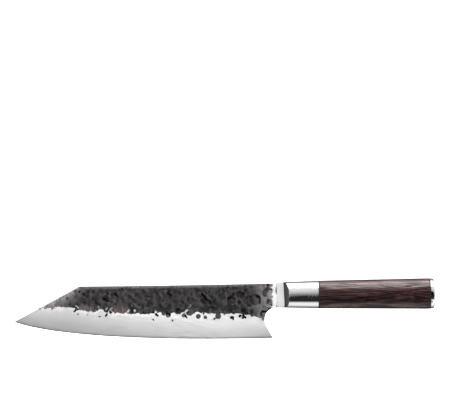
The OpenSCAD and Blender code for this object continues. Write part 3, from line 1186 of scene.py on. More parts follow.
# Folds in the scale, painted dark as shade in the fold, the deeper the darker: the same, with the reach along the blade
# and upwards before the radius.
CREVICES = (
    (0.5, 4.9, 0, -2.6, 0.45, 0.015), (159.3, -14, 0, 0, 0.6, 0.03), (151.7, -14.4, 0, 0, 0.5, 0.05),
    (99.4, -18.5, -0.5, -0.8, 0.4, 0.09), (56.4, -2.9, -3.4, -2.8, 0.6, 0.12),
    (15.8, -0.7, -1.5, -1, 1, 0.14), (13.6, -2.9, 0.5, -3.4, 0.8, 0.12), (21.1, -1.1, 0, 0, 1, 0.11),
    (27.3, 1.3, -0.6, 0, 1, 0.13), (25.5, 7.4, 0, 0, 1.2, 0.08), (34.8, 2.2, 0, -1.3, 0.6, 0.11),
    (30.2, -5.2, 0, 0, 0.9, 0.1), (28.2, -8, 0, 0, 0.8, 0.08), (28.1, -11, 0, 0, 0.7, 0.1),
    (26.2, -12.3, 0, 0, 1.1, 0.14), (25.2, -13.6, -0.8, -1, 1.3, 0.06), (23.6, -14.5, 0, 0, 0.6, 0.13),
    (20.1, -13.8, 0, 0, 1.3, 0.05), (10.1, 1.2, -1, 1.8, 1.6, 0.1), (8.6, 4.5, -1.3, 0.6, 1.4, 0.11),
    (9.7, -0.3, 0, 0, 1, 0.1), (7.1, 8, 0, 0, 1.3, 0.11), (4.6, 4.8, 0, 0, 0.9, 0.11), (6.9, -4.8, -0.2, -1, 1.3, 0.11),
    (5.8, -6.7, -0.5, 0.2, 1, 0.06), (4.5, -8.2, -0.3, 0, 0.6, 0.11), (10.9, -9.1, -1.7, -1.5, 1, 0.06),
    (11.8, -13.2, -2.2, 0, 0.9, 0.14), (12.8, -14.3, 0, -1.9, 0.7, 0.12), (6.2, -10.9, 0, 0, 1, 0.14),
    (7.1, -11.8, 1.3, -1.4, 0.8, 0.13), (60, 1.3, -3.3, -4.2, 0.9, 0.14), (61.1, -0.7, 0, 0, 0.6, 0.13),
    (54, -3.7, 0, -0.5, 0.7, 0.1), (53.3, -6.3, 0, 0, 0.7, 0.14), (56.6, 2.1, 0, 0, 0.7, 0.1),
    (49.9, -4.1, 1, -1.4, 0.6, 0.1), (52.5, -9.1, -0.3, 0, 1.4, 0.08), (47.4, -8.9, 0.8, -2.1, 0.8, 0.08),
    (39, -2.2, -1.8, 0.5, 0.8, 0.14), (36.5, -1.8, -2.7, -1, 0.7, 0.11), (39, 6.7, 0, 0, 1, 0.06),
    (58.7, -14.1, 0, 0, 0.7, 0.11), (50.1, -18.5, 0, 0, 0.8, 0.14), (36.6, -17.8, -1.1, 0.1, 1.1, 0.05),
    (35.9, -17.5, 0, 0, 0.6, 0.11), (35, -19.2, 0, 0, 0.6, 0.11), (30.1, -16.9, -0.8, 0.6, 0.8, 0.11),
    (27.2, -16.3, -1.1, -1.1, 0.8, 0.11), (25.4, -17.9, 0, 0, 0.8, 0.14), (87.2, 2.5, -0.6, -0.6, 1, 0.14),
    (84.9, 0.6, -0.2, -0.5, 0.9, 0.14), (104.9, 0.1, -3, -0.7, 0.6, 0.11), (76.8, -3.8, -1.9, -1.5, 0.8, 0.08),
    (90, -10.2, 0, 0, 0.8, 0.11), (88.7, -12.3, 0, 0, 0.7, 0.11), (80.1, -10.8, -0.8, 0.2, 1.1, 0.07),
    (71, -1.9, 0, 0, 1.3, 0.06), (99, -13, 0, 0, 1, 0.06), (97.1, -14.6, -1.6, -1.1, 0.7, 0.14),
    (88.1, -14, -2.4, -1.1, 0.7, 0.14), (71.5, -12.7, 0, -0.8, 0.6, 0.1), (73.3, -15.7, -0.9, -1.9, 0.6, 0.09),
    (83.7, -19.7, 0, 0, 0.7, 0.11), (138.9, -1.9, -1.4, -0.3, 0.8, 0.14), (137.1, -2.5, -1.9, -1.2, 0.8, 0.13),
    (129.7, 2.4, -1.7, -1.9, 0.8, 0.13), (123.9, 6.2, 0, 0, 0.9, 0.1), (133.2, -12.6, 0, 0, 1.1, 0.04),
    (136.4, -14.3, 0.7, -1.3, 0.7, 0.14), (142.5, -15.9, -0.9, 0, 0.5, 0.04), (117.4, -7.7, 0, 0, 0.6, 0.11),
    (114.8, -7.6, 0, 0, 0.6, 0.11), (116.2, -9.4, 0, 0, 0.6, 0.14), (115.4, -12.1, 0, 0, 0.7, 0.13),
    (107.1, -13, 0, 0, 0.7, 0.12), (154.8, 2.5, 0, -0.8, 0.9, 0.11), (158.1, 4.1, 0, 0, 0.9, 0.13),
    (150.7, 3.8, 0, 0, 1.1, 0.07), (161.2, 4.2, 0, 0, 1.1, 0.06), (167.8, -1, 0, -0.3, 0.9, 0.08),
    (145.3, -2.7, -0.3, -2.4, 0.9, 0.1), (154, -5, -0.3, 0, 1.2, 0.05), (165.6, -6, 0, 0, 1, 0.08),
    (163.3, -7.6, 0, 0, 1, 0.05), (160.9, -8.5, 0, 0, 0.6, 0.1), (159.4, -10.1, 0, 0, 0.6, 0.11),
    (161.1, -10.9, 1.3, -0.8, 0.6, 0.14), (184.1, -6.7, 0, 0, 1, 0.04),
)
# Spots where the scale has come off: start, reach and radius in millimetres, and how bare they are.
BARE_SPOTS = (
    (58.8, 2.6, -6.4, -5.8, 0.3, 0.13),
    (22.7, -13.3, -0.4, -0.9, 0.7, 0.08), (3.7, -5.2, -0.1, -1.2, 0.7, 0.3), (9.2, -8.3, 0, 0, 0.6, 0.12),
    (39, 5.4, 0, 0, 0.7, 0.1), (45.5, -12.7, 0, 0, 0.8, 0.1), (97.1, -13, 0, 0, 1, 0.95),
    (87.2, -15.7, 0, 0, 0.7, 0.22), (73.2, -12.6, -1.1, 0.9, 0.8, 0.95), (73.3, -14.1, 0, 0, 0.6, 0.7),
    (70.2, -9.1, -1.1, 1.6, 0.5, 0.22), (76.4, -14, -1.3, 0.4, 0.6, 0.9), (114.3, 7.1, 0, 0, 0.6, 0.2),
    (111.1, 7.1, 0, 0, 0.6, 0.2), (132.1, -9.2, 1.9, -1.7, 0.5, 0.55), (132.7, -11.3, -1.1, -1.1, 0.5, 0.5),
    (136.1, -9.3, 0.7, -1.1, 0.6, 0.5), (116.1, -7.4, 0, 0, 0.6, 0.25), (113.9, -11.5, 0, 0, 0.9, 1),
    (118.7, -11.3, 0.8, -1.1, 0.7, 0.85), (142.8, -7.8, 0, -1.1, 0.6, 0.3), (160.9, -7.1, -2, -1.9, 0.5, 0.7),
    (162.5, -9.7, 0, 0, 0.9, 1), (179.1, -4.8, 0, -2.9, 0.6, 0.3),
)


@dataclass
class Blade:
    """The forged blade: hammered skin above, ground bevel below, and its stick tang.

    A hollow is its middle and its reach along the blade and its depth, in millimetres. A wave of
    the ricasso's line is its share, its length and where it starts.
    """

    cell: float = 0.43 * MM
    coarse_rows: int = 8
    coarse_share: float = 0.22
    edge_rows: int = 4
    edge_run: float = 0.8 * MM
    edge_half: float = 0.02 * MM
    convexity: float = 0.3
    ricasso_run: float = 3.7 * MM
    ricasso_drop: float = 0.02 * MM
    ricasso_dip: float = 0.04
    ricasso_slope: float = 0.16
    ricasso_wobble: float = 0.7 * MM
    ricasso_waves: tuple[tuple[float, float, float], ...] = ((1.0, 0.8 * MM, 0.0), (0.7, 0.47 * MM, 1.0))
    spine_strips: int = 4
    mark_flatness: float = 5.0
    blackest: float = 0.14 * MM
    island_paleness: float = 0.07
    # Painted shade inside the dimples in the skin, and a painted highlight in a ring round every dimple's rim.
    painted_dimple_shade: float = 0.4
    painted_rim_highlight: float = 0.06
    rim_place: float = 1.3
    rim_width: float = 0.14
    bare_spread: float = 2.5
    dimple_spread: float = 2.5
    crevice_spread: float = 2.8
    rubbed_bite: float = 0.55
    clip_rub: float = 13 * MM
    clip_rub_start: float = 8 * MM
    clip_rub_fade: float = 16 * MM
    # A highlight painted pale along the clip's edge.
    clip_edge_highlight: float = 4 * MM
    clip_edge_highlight_start: float = 2 * MM
    clip_edge_highlight_fade: float = 4 * MM
    clip_edge_highlight_share: float = 0.6
    clip_ease: float = 0.16 * MM
    clip_ease_width: float = 0.9 * MM
    ricasso_rub: float = 20 * MM
    hollow_height: float = 3.5 * MM
    hollows: tuple[tuple[float, float, float], ...] = (
        (11, 3.5, 0.12),
        (19, 5, 0.11),
        (29, 9, 0.08),
        (66, 5, 0.035),
        (62, 42, 0.045),
        (150, 20, 0.012),
        (170, 7, 0.085),
        (141.5, 3, 0.08),
    )
    shallow_run: float = 3.5 * MM
    shallow_share: float = 0.3
    spine_rub: float = 2.0 * MM
    spine_rub_end: float = 172 * MM
    spine_rub_fade: float = 20 * MM
    spine_rub_share: float = 0.6
    oxide_fade: float = 2 * MM
    tang_half_height: float = 4 * MM
    crease: float = 40.0
    seed: int = 11
    oxide: tuple[OxideBand, ...] = (
        OxideBand(145.6, 160.0, 3.4, False, 0.9),
        OxideBand(119.2, 133.5, 3.8, False, 0.9),
        OxideBand(62.0, 140.0, 1.2, True, 0.5),
        OxideBand(44.0, 56.0, 1.4, True, 0.35),
        OxideBand(5.0, 17.0, 2.2, True, 0.4),
        OxideBand(170.0, 184.0, 2.6, False, 0.3),
    )

    def build(self, finishes: Finishes, tools: GeometryTools) -> Piece:
        """Makes the blade and sets it in the frame.

        Args:
            finishes: The knife's materials.
            tools: The geometry node trees.

        Returns:
            The blade.
        """
        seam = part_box("bolster")[0].x
        self.shape = BladeShape(seam_x=seam)
        obj = self._plain(finishes)
        lowest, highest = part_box("blade")
        middle = (lowest + highest) / 2
        run_tree(
            obj,
            tools.hammered,
            {
                "Plate Length": (highest.x - lowest.x) * 1.1,
                "Plate Height": (highest.z - lowest.z) * 1.3,
                "Plate Centre": (middle.x, 0.0, middle.z),
                "Seed": self.seed,
                "Material": finishes["blade"],
            },
        )
        self._add_tang(obj)
        obj.name = "forged_blade"
        smooth(obj, self.crease)
        place_piece(obj, "blade", "blade")
        return obj

    def _grid(self) -> tuple[Array, Array]:
        """The blade's face as a grid between its four edges.

        Returns:
            u and z of every point, with rows from the edge to the spine and columns from the back to the tip.
        """
        shape = self.shape
        height = shape.spine_heel + shape.heel_depth
        honed = np.linspace(0, self.edge_run / height, self.edge_rows)
        bevel = np.linspace(honed[-1], self.coarse_share, self.coarse_rows)
        dense = np.linspace(self.coarse_share, 1, round(height * (1 - self.coarse_share) / self.cell))
        v = np.concatenate([honed[:-1], bevel[:-1], dense])
        s = np.linspace(0, 1, round(shape.length / self.cell))
        low_u = shape.heel[0] + (shape.length - shape.tip_blunt - shape.heel[0]) * s
        low = np.stack([low_u, shape.edge_z(low_u)], axis=-1)
        top_u = shape.corner_u * s
        top = np.stack([top_u, shape.top_z(top_u)], axis=-1)
        back_z = -shape.heel_depth + height * v
        back = np.stack([shape.rear_u(back_z), back_z], axis=-1)
        front_u = low_u[-1] + (shape.corner_u - low_u[-1]) * v
        front_z = low[-1, 1] + (shape.spine_clip - low[-1, 1]) * v
        front_z = np.minimum(front_z, shape.top_z(front_u))
        front = np.stack([front_u, front_z], axis=-1)
        v, s = v[:, None, None], s[None, :, None]
        corners = (1 - v) * ((1 - s) * low[0] + s * low[-1]) + v * ((1 - s) * top[0] + s * top[-1])
        face = (1 - v) * low[None] + v * top[None] + (1 - s) * back[:, None] + s * front[:, None] - corners
        return face[..., 0], face[..., 1]

    def _ground_half(self, u: Array, z: Array) -> Array:
        """Half the thickness that grinding leaves: the bevel, the honed edge and the ricasso.

        Args:
            u: Distance forward from the seam.
            z: Height.

        Returns:
            Half the thickness at each point.
        """
        shape = self.shape
        edge = shape.edge_z(u)
        share = (z - edge) / (shape.bevel_z(u) - edge)
        bowed = share + self.convexity * share * (1 - share)
        half_edge = shape.edge_thickness / 2
        bevel = half_edge + (shape.flank(u) - half_edge) * bowed
        honed_rise = (
            half_edge + (shape.flank(u) - half_edge) * self.edge_run / (shape.bevel_z(u) - edge) - self.edge_half
        ) / self.edge_run
        honed = self.edge_half + (z - edge) * honed_rise
        waves = sum(share * np.sin(z / length + start) for share, length, start in self.ricasso_waves)
        run = self.ricasso_run + self.ricasso_wobble * waves
        dip = self.ricasso_drop + np.minimum(u, run) * self.ricasso_dip
        ricasso = shape.flank(u) - dip + np.maximum(u - run, 0) * self.ricasso_slope
        eased = shape.flank(u) - self.clip_ease * (1 - self._below_clip(u, z) / self.clip_ease_width)
        eased = np.where(u > shape.corner_u, eased, np.inf)
        return np.maximum(np.minimum(np.minimum(bevel, honed), np.minimum(ricasso, eased)), self.edge_half)

    def _below_clip(self, u: Array, z: Array) -> Array:
        """Distance of each point from the line of the clip, below it."""
        shape = self.shape
        drop = (shape.spine_clip + shape.tip_depth) / shape.clip_length
        return (shape.spine_clip - drop * (u - shape.corner_u) - z) / math.hypot(1, drop)

    def _plain(self, finishes: Finishes) -> Piece:
        """Both faces and the rim between them, flat, with what the hammering tree reads.

        Args:
            finishes: The knife's materials.

        Returns:
            The mesh object.
        """
        u, z = self._grid()
        rows, columns = u.shape
        number = np.arange(rows * columns).reshape(rows, columns)
        around = np.concatenate([number[0, :-1], number[:-1, -1], number[-1, :0:-1], number[:0:-1, 0]])
        strips = np.linspace(-1, 1, self.spine_strips + 1)[1:-1]
        count = rows * columns
        flat_u, flat_z = u.ravel(), z.ravel()
        all_u = np.concatenate([flat_u, flat_u] + [flat_u[around]] * len(strips))
        all_z = np.concatenate([flat_z, flat_z] + [flat_z[around]] * len(strips))
        side = np.concatenate([np.full(count, -1.0), np.full(count, 1.0)] + [np.full(len(around), s) for s in strips])
        quads = np.stack([number[:-1, :-1], number[:-1, 1:], number[1:, 1:], number[1:, :-1]], axis=-1).reshape(-1, 4)
        rings = [around] + [
            2 * count + i * len(around) + np.arange(len(around)) for i in range(len(strips))
        ] + [around + count]
        faces = [quads, quads[:, ::-1] + count]
        for first, second in zip(rings, rings[1:]):
            faces.append(np.stack([first, second, np.roll(second, -1), np.roll(first, -1)], axis=-1))
        points = np.stack([self.shape.seam_x - all_u, np.zeros(len(all_u)), all_z], axis=-1)
        obj = new_mesh("blade_plain", points, np.concatenate(faces))
        shape = self.shape
        edge = shape.edge_z(all_u)
        ground = self._ground_half(all_u, all_z)
        from_line = (all_z - shape.bevel_z(all_u)) / self.hollow_height
        for centre, reach, depth in self.hollows:
            from_centre = (all_u - centre * MM) / (reach * MM)
            ground -= depth * MM * np.exp(-(from_line**2) - from_centre**2)
        placed, stain_and_painted_light = self._placed(all_u, all_z, side, shape.flank(all_u) - ground)
        rubbed_and_edge_highlight = self._rubbed_and_edge_highlight(all_u, all_z)
        above = np.clip((all_z - shape.bevel_z(all_u)) / self.shallow_run, 0, 1)
        values = {
            "side": side,
            "bite": (1 - self.rubbed_bite * rubbed_and_edge_highlight) * (self.shallow_share + (1 - self.shallow_share) * above),
            "flank": shape.flank(all_u),
            "ground": ground,
            "placed": placed,
            "stain_and_painted_light": stain_and_painted_light,
            "rubbed_and_edge_highlight": rubbed_and_edge_highlight,
            "oxide": self._oxide(all_u, all_z),
            "bevel_run": (all_z - edge) / (shape.bevel_z(all_u) - edge),
        }
        for name, numbers in values.items():
            attribute = obj.data.attributes.new(name, "FLOAT", "POINT")
            attribute.data.foreach_set("value", numbers.astype(np.float32))
        obj.data.materials.append(finishes["blade"])
        return obj

    @staticmethod
    def _gap(u: Array, z: Array, start: Array, reach: Array) -> Array:
        """Distance of each point from a short straight stroke.

        Args:
            u: Distance forward from the seam.
            z: Height.
            start: Where the stroke starts.
            reach: How far it goes.

        Returns:
            The distance at each point.
        """
        length = max(float(reach @ reach), 1e-12)
        along = np.clip(((u - start[0]) * reach[0] + (z - start[1]) * reach[1]) / length, 0, 1)
        return np.hypot(u - start[0] - along * reach[0], z - start[1] - along * reach[1])

    def _placed(self, u: Array, z: Array, side: Array, missing: Array) -> tuple[Array, Array]:
        """The marks with a known place: how deep they reach, how bare the bare spots are, and the painted shade in
        dimples and crevices and painted highlight round dimple rims.

        Args:
            u: Distance forward from the seam.
            z: Height.
            side: Which way each point faces.
            missing: How far the ground planes lie under the plain flank.

        Returns:
            The depth at each point, and the stain, from -1 in a crevice to 1 on a bare spot, which holds the painted
            shade and highlight as well as the bare spots.
        """
        depth, stain_and_painted_light = np.zeros(len(u)), np.zeros(len(u))
        on_left = side <= 0
        strokes = [(a, b, 0.0, 0.0, radius, own, None) for a, b, radius, own in DIMPLES]
        strokes += [(*row, -1.0) for row in CREVICES]
        for *sizes, shade in strokes:
            mark_u, mark_z, reach_u, reach_z, radius, own = np.array(sizes) * MM
            gap = self._gap(u, z, np.array([mark_u, mark_z]), np.array([reach_u, reach_z]))
            cut = max(float(missing[int(np.argmin(gap))]), 0.0)
            rim = radius * ((own + cut) / own) ** (1 / self.mark_flatness)
            bowl = (own + cut) * np.clip(1 - (gap / rim) ** self.mark_flatness, 0, 1)
            depth = np.maximum(depth, np.where(on_left, bowl, 0))
            spread = self.dimple_spread if shade is None else self.crevice_spread
            share = np.where(on_left, np.clip(spread - 2 * gap / radius, 0, 1), 0)
            if shade is None:
                # Islands turn a little pale; dimples in the skin get painted shade, and every dimple a painted
                # highlight round its rim.
                shade = self.island_paleness if cut > 0 else -self.painted_dimple_shade
                rim_highlight_share = np.exp(-(((gap / radius - self.rim_place) / self.rim_width) ** 2))
                stain_and_painted_light += np.where(on_left & (stain_and_painted_light > -0.1), rim_highlight_share * self.painted_rim_highlight, 0)
            else:
                # Painted shade in a crevice, darker the deeper it is.
                shade *= min(own / self.blackest, 1.0)
            stain_and_painted_light = stain_and_painted_light * (1 - share) + shade * share
        for *sizes, bare in BARE_SPOTS:
            mark_u, mark_z, reach_u, reach_z, radius = np.array(sizes) * MM
            gap = self._gap(u, z, np.array([mark_u, mark_z]), np.array([reach_u, reach_z]))
            share = np.where(on_left, np.clip(self.bare_spread - 2 * gap / radius, 0, 1), 0)
            stain_and_painted_light = stain_and_painted_light * (1 - share) + bare * share
        return depth, stain_and_painted_light

    def _rubbed_and_edge_highlight(self, u: Array, z: Array) -> Array:
        """Where grinding of the clip and the ricasso has worn the forged skin pale, and where a highlight is painted
        pale along the clip's edge.

        Args:
            u: Distance forward from the seam.
            z: Height.

        Returns:
            From 0 to 1 at each point.
        """
        shape = self.shape
        from_clip = self._below_clip(u, z)
        past = u - shape.corner_u
        begun = np.clip((past + self.clip_rub_start) / self.clip_rub_fade, 0, 1)
        clip = np.clip(1 - from_clip / self.clip_rub, 0, 1) ** 1.5 * begun
        # A highlight painted pale along the clip's edge.
        begun = np.clip((past + self.clip_edge_highlight_start) / self.clip_edge_highlight_fade, 0, 1)
        clip += self.clip_edge_highlight_share * np.clip(1 - from_clip / self.clip_edge_highlight, 0, 1) * begun
        ricasso = np.clip((self.ricasso_rub - u) / (self.ricasso_rub - self.ricasso_run), 0, 1) ** 0.8
        spine = np.clip(1.3 - (shape.top_z(u) - z) / self.spine_rub, 0, 1)
        spine *= np.clip((self.spine_rub_end - u) / self.spine_rub_fade, 0, 1)
        return np.maximum(np.maximum(clip, ricasso), spine * self.spine_rub_share)

    def _oxide(self, u: Array, z: Array) -> Array:
        """Where the forged skin is brown.

        Args:
            u: Distance forward from the seam.
            z: Height.

        Returns:
            From 0 to 1 at each point.
        """
        brown = np.zeros(len(u))
        for band in self.oxide:
            line = self.shape.top_z(u) if band.at_spine else self.shape.bevel_z(u)
            gap = np.abs(z - line) if band.at_spine else np.abs(z - line - band.width * MM * 0.2)
            across = np.clip(1.3 - gap / (band.width * MM), 0, 1)
            along = np.clip(np.minimum(u - band.start * MM, band.end * MM - u) / self.oxide_fade, 0, 1)
            brown = np.maximum(brown, across * along * band.strength)
        return brown

    def _add_tang(self, obj: Piece) -> None:
        """Adds the stick tang, which the handle hides, to the blade's mesh.

        Args:
            obj: The blade.
        """
        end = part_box("blade")[1].x
        half_t = self.shape.thickness_heel / 2
        half_h = self.tang_half_height
        start = self.shape.seam_x
        corners = [Vector((x, y, z)) for x in (start, end) for y in (-half_t, half_t) for z in (-half_h, half_h)]
        base = len(obj.data.vertices)
        obj.data.vertices.add(len(corners))
        for i, corner in enumerate(corners):
            obj.data.vertices[base + i].co = corner
        faces = [(0, 1, 3, 2), (4, 6, 7, 5), (0, 4, 5, 1), (2, 3, 7, 6), (0, 2, 6, 4), (1, 5, 7, 3)]
        loop = len(obj.data.loops)
        poly = len(obj.data.polygons)
        obj.data.loops.add(4 * len(faces))
        obj.data.polygons.add(len(faces))
        for i, face in enumerate(faces):
            obj.data.polygons[poly + i].loop_start = loop + 4 * i
            for k, corner in enumerate(face):
                obj.data.loops[loop + 4 * i + k].vertex_index = base + corner
        obj.data.update(calc_edges=True)
        obj.data.validate()
        face_outwards(obj)


# The bolster


@dataclass
class Bolster:
    """The turned ferrule with its flat neck, milled and scooped on both sides."""

    neck_length: float = 5.6 * MM
    neck_half: float = 2.2 * MM
    neck_taper: float = 0.035
    front_radius: float = 10.35 * MM
    scoop_length: float = 3.9 * MM
    scoop_radius: float = 14 * MM
    rim: float = 0.05 * MM
    corner_round: float = 0.5 * MM
    scoop_lean: float = 0.04
    # How wide the strip of painted shade is at the scoop's foot.
    corner_shade_length: float = 0.55 * MM
    arc_points: int = 26
    flat_points: int = 26
    neck_rings: int = 8
    scoop_rings: int = 40
    body_rings: int = 12
    widest: float = math.radians(86)
    crease: float = 28.0

    def build(self, finishes: Finishes) -> Piece:
        """Makes the bolster and sets it in the frame.

        Args:
            finishes: The knife's materials.

        Returns:
            The bolster.
        """
        lowest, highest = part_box("bolster")
        self.seam, self.rear = lowest.x, highest.x
        self.rear_radius = highest.z
        self.shoulder = self.seam + self.neck_length
        self.growth = (self.rear_radius - self.front_radius) / (self.rear - self.shoulder)
        stations = self._stations()
        rings = [self._ring(x, rim) for x, rim in stations]
        points = np.concatenate(rings)
        size = len(rings[0])
        faces: list[Sequence[int]] = []
        for i in range(len(rings) - 1):
            a = i * size + np.arange(size)
            b = np.roll(a, -1)
            faces.extend(np.stack([a, b, b + size, a + size], axis=-1))
        faces.append(np.arange(size)[::-1])
        faces.append((len(rings) - 1) * size + np.arange(size))
        obj = new_mesh("bolster_ferrule", points, faces)
        face_outwards(obj)
        for finish in ("ferrule", "neck", "corner_shade", "scoop"):
            obj.data.materials.append(finishes[finish])
        for polygon in obj.data.polygons:
            centre = polygon.center
            from_line = centre.x - self.shoulder - self._lean(centre.x, centre.z)
            inside = math.hypot(centre.y, centre.z) < self._radius(centre.x) - 0.02 * MM
            if abs(polygon.normal.x) < 0.5 and from_line < 0:
                polygon.material_index = 1
            # A thin strip at the scoop's foot is painted black as shade in the inner corner.
            elif inside and 0 < from_line < self.corner_shade_length:
                polygon.material_index = 2
            # The scooped faces take the darker steel, painted shade.
            elif inside and 0 < from_line < 1.2 * self.scoop_length and polygon.normal.x < -0.3:
                polygon.material_index = 3
        smooth(obj, self.crease)
        place_piece(obj, "bolster", "bolster")
        return obj

    def _radius(self, x: float) -> float:
        """Radius of the turned cone at x."""
        return self.front_radius + self.growth * (x - self.shoulder)

    def _lean(self, x: float, z: float) -> float:
        """How far the scoop and its foot lean along the axis, which fades out on both sides."""
        before = (x - self.seam) / self.neck_length
        behind = (self.shoulder + 3 * self.scoop_length - x) / (2 * self.scoop_length)
        return -self.scoop_lean * z * max(min(before, behind, 1.0), 0.0)

    def _stations(self) -> list[tuple[float, float]]:
        """Where the rings stand.

        Returns:
            x of each ring, and how far its radius is turned down for the rim.
        """
        neck = [(self.seam, self.rim)] + [
            (x, 0.0) for x in np.linspace(self.seam + self.rim, self.shoulder, self.neck_rings)
        ]
        scoop = [(self.shoulder + self.scoop_length * s, 0.0) for s in np.linspace(0, 1.06, self.scoop_rings)[1:]]
        body = [(x, 0.0) for x in np.linspace(scoop[-1][0], self.rear - self.rim, self.body_rings)[1:]]
        return neck + scoop + body + [(self.rear, self.rim)]

    def _half_width(self, x: float) -> float:
        """How far the sides reach at x: the neck's flat, then the scoop, then no limit."""
        if x <= self.shoulder:
            return self.neck_half - self.neck_taper * (self.shoulder - x)
        foot = np.array([0.0, self.neck_half])
        side_radius = self._radius(self.shoulder + self.scoop_length / 2)
        chord = np.array([self.scoop_length, side_radius - self.neck_half])
        length = float(np.hypot(*chord))
        lift = math.sqrt(self.scoop_radius**2 - length**2 / 4) / length
        centre = foot + chord / 2 + lift * np.array([-chord[1], chord[0]])
        inside = self.scoop_radius**2 - (x - self.shoulder - centre[0]) ** 2
        if inside <= 0 or x - self.shoulder > self.scoop_length * 1.05:
            return 1.0
        return max(float(centre[1] - math.sqrt(inside)), self.neck_half)

    def _ring(self, x: float, rim: float) -> Array:
        """One ring of points round the axis.

        Args:
            x: Where the ring stands.
            rim: How far the rim is turned down there.

        Returns:
            The points.
        """
        radius = self._radius(x) - rim
        limit = self._half_width(x)
        corner = min(math.asin(min(limit / radius, 1.0)), self.widest)
        arc = np.linspace(0, corner, self.arc_points)[:-1]
        flat = np.linspace(corner, math.pi / 2, self.flat_points)
        quarter = np.concatenate([arc, flat])
        half = np.concatenate([quarter, math.pi - quarter[-2::-1]])
        turn = np.concatenate([half, half[1:-1] + math.pi])
        z = radius * np.cos(turn)
        if x <= self.shoulder:
            past = np.clip(np.abs(z) - radius * math.cos(corner) + self.corner_round, 0, self.corner_round)
            limit = limit - self.corner_round + np.sqrt(self.corner_round**2 - past**2)
        y = np.clip(radius * np.sin(turn), -limit, limit)
        return np.stack([x + np.array([self._lean(x, height) for height in z]), y, z], axis=-1)


# Turned pieces


@dataclass
class TurnedPiece:
    """A piece of the handle that is round the axis, turned from a profile of (x, radius) points."""

    name: str
    node: str
    slot: str
    profile: list[tuple[float, float]]
    crease: float = 30.0
    segments: int = 180

    def build(self, material: Material, tools: GeometryTools) -> Piece:
        """Turns the piece and sets it in the frame.

        Args:
            material: Its material.
            tools: The geometry node trees.

        Returns:
            The piece.
        """
        points = np.array([(x, 0.0, radius) for x, radius in self.profile])
        obj = new_mesh(self.name, points, [])
        run_tree(obj, tools.lathe, {"Segments": self.segments, "Material": material})
        face_outwards(obj)
        smooth(obj, self.crease)
        place_piece(obj, self.node, self.slot)
        return obj


@dataclass
class HandleWood:
    """The turned wood, with its bores."""

    front_radius: float = 11.2 * MM
    rear_radius: float = 12.3 * MM
    ease: float = 0.12 * MM
    sleeve_gap: float = 0.05 * MM
    rod_hole_radius: float = 4.5 * MM
    cup_radius: float = 8.25 * MM
    stations: int = 40

    def build(self, finishes: Finishes, tools: GeometryTools) -> Piece:
        """Turns the wood and sets it in the frame.

        Args:
            finishes: The knife's materials.
            tools: The geometry node trees.

        Returns:
            The wood.
        """
        front, rear = (corner.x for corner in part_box("handle"))
        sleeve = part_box("tang_sleeve")[1]
        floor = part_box("clamp_washer")[0].x
        sleeve_radius = sleeve.z + self.sleeve_gap
        outside = [
            (
                front + self.ease + (rear - front - 2 * self.ease) * s,
                self.front_radius + (self.rear_radius - self.front_radius) * s,
            )
            for s in np.linspace(0, 1, self.stations)
        ]
        profile = [
            (front, sleeve_radius),
            (front, self.front_radius - self.ease),
            *outside,
            (rear, self.rear_radius - self.ease),
            (rear, self.cup_radius),
            (floor, self.cup_radius),
            (floor, self.rod_hole_radius),
            (sleeve.x, self.rod_hole_radius),
            (sleeve.x, sleeve_radius),
            (front, sleeve_radius),
        ]
        piece = TurnedPiece("handle_wood", "handle", "handle_wood", profile)
        return piece.build(finishes["wood"], tools)


@dataclass
class EndCap:
    """The polished cap, with a rounded rim and a spigot."""

    flat_radius: float = 8.5 * MM
    rim_length: float = 2.0 * MM
    thickness: float = 3.6 * MM
    spigot_radius: float = 8.2 * MM
    chamfer: float = 0.15 * MM
    rim_steps: int = 14

    def build(self, finishes: Finishes, tools: GeometryTools) -> Piece:
        """Turns the cap and sets it in the frame.

        Args:
            finishes: The knife's materials.
            tools: The geometry node trees.

        Returns:
            The cap.
        """
        lowest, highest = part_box("end_cap")
        radius = highest.z
        face = highest.x
        turns = np.linspace(0, math.pi / 2, self.rim_steps)
        rim = [
            (
                face - self.rim_length + self.rim_length * math.sin(a),
                self.flat_radius + (radius - self.flat_radius) * math.cos(a),
            )
            for a in turns
        ]
        profile = [
            (lowest.x, 0.0),
            (lowest.x, self.spigot_radius),
            (face - self.thickness, self.spigot_radius),
            (face - self.thickness, radius - self.chamfer),
            (face - self.thickness + self.chamfer, radius),
            *rim,
            (face, 0.0),
        ]
        piece = TurnedPiece("steel_end_cap", "end_cap", "end_cap", profile)
        return piece.build(finishes["cap"], tools)


@dataclass
class InnerPieces:
    """The spacers and the pieces inside the handle, which keep their CAD meshes."""

    finish_of: dict[str, str] = field(
        default_factory=lambda: {
            "front_spacer": "spacer",
            "rear_spacer": "spacer",
            "tang_sleeve": "dowel",
            "tang_rod": "machined",
            "epoxy_bed": "resin",
            "clamp_washer": "machined",
            "tang_nut": "machined",
        }
    )

    def build(self, finishes: Finishes) -> None:
        """Gives each piece its material.

        Args:
            finishes: The knife's materials.
        """
        for node, finish in self.finish_of.items():
            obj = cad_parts[node]
            obj.data.materials.clear()
            obj.data.materials.append(finishes[finish])
            log.info("%s: CAD mesh in %s", node, finish)


# The studio


@dataclass(frozen=True)
class SoftBox:
    """A flat lamp: its middle, its size, the way it shines, and how bright its face is."""

    name: str
    middle: tuple[float, float, float]
    size: tuple[float, float]
    turn: tuple[float, float, float]
    radiance: float
    spread: float = math.pi

    def build(self) -> None:
        """Makes the lamp."""
        lamp = bpy.data.lights.new(self.name, "AREA")
        lamp.spread = self.spread
        lamp.shape = "RECTANGLE"
        lamp.size, lamp.size_y = self.size
        lamp.energy = self.radiance * math.pi * self.size[0] * self.size[1]
        obj = bpy.data.objects.new(self.name, lamp)
        obj.location = self.middle
        obj.rotation_euler = self.turn
        obj.visible_camera = False
        bpy.context.scene.collection.objects.link(obj)


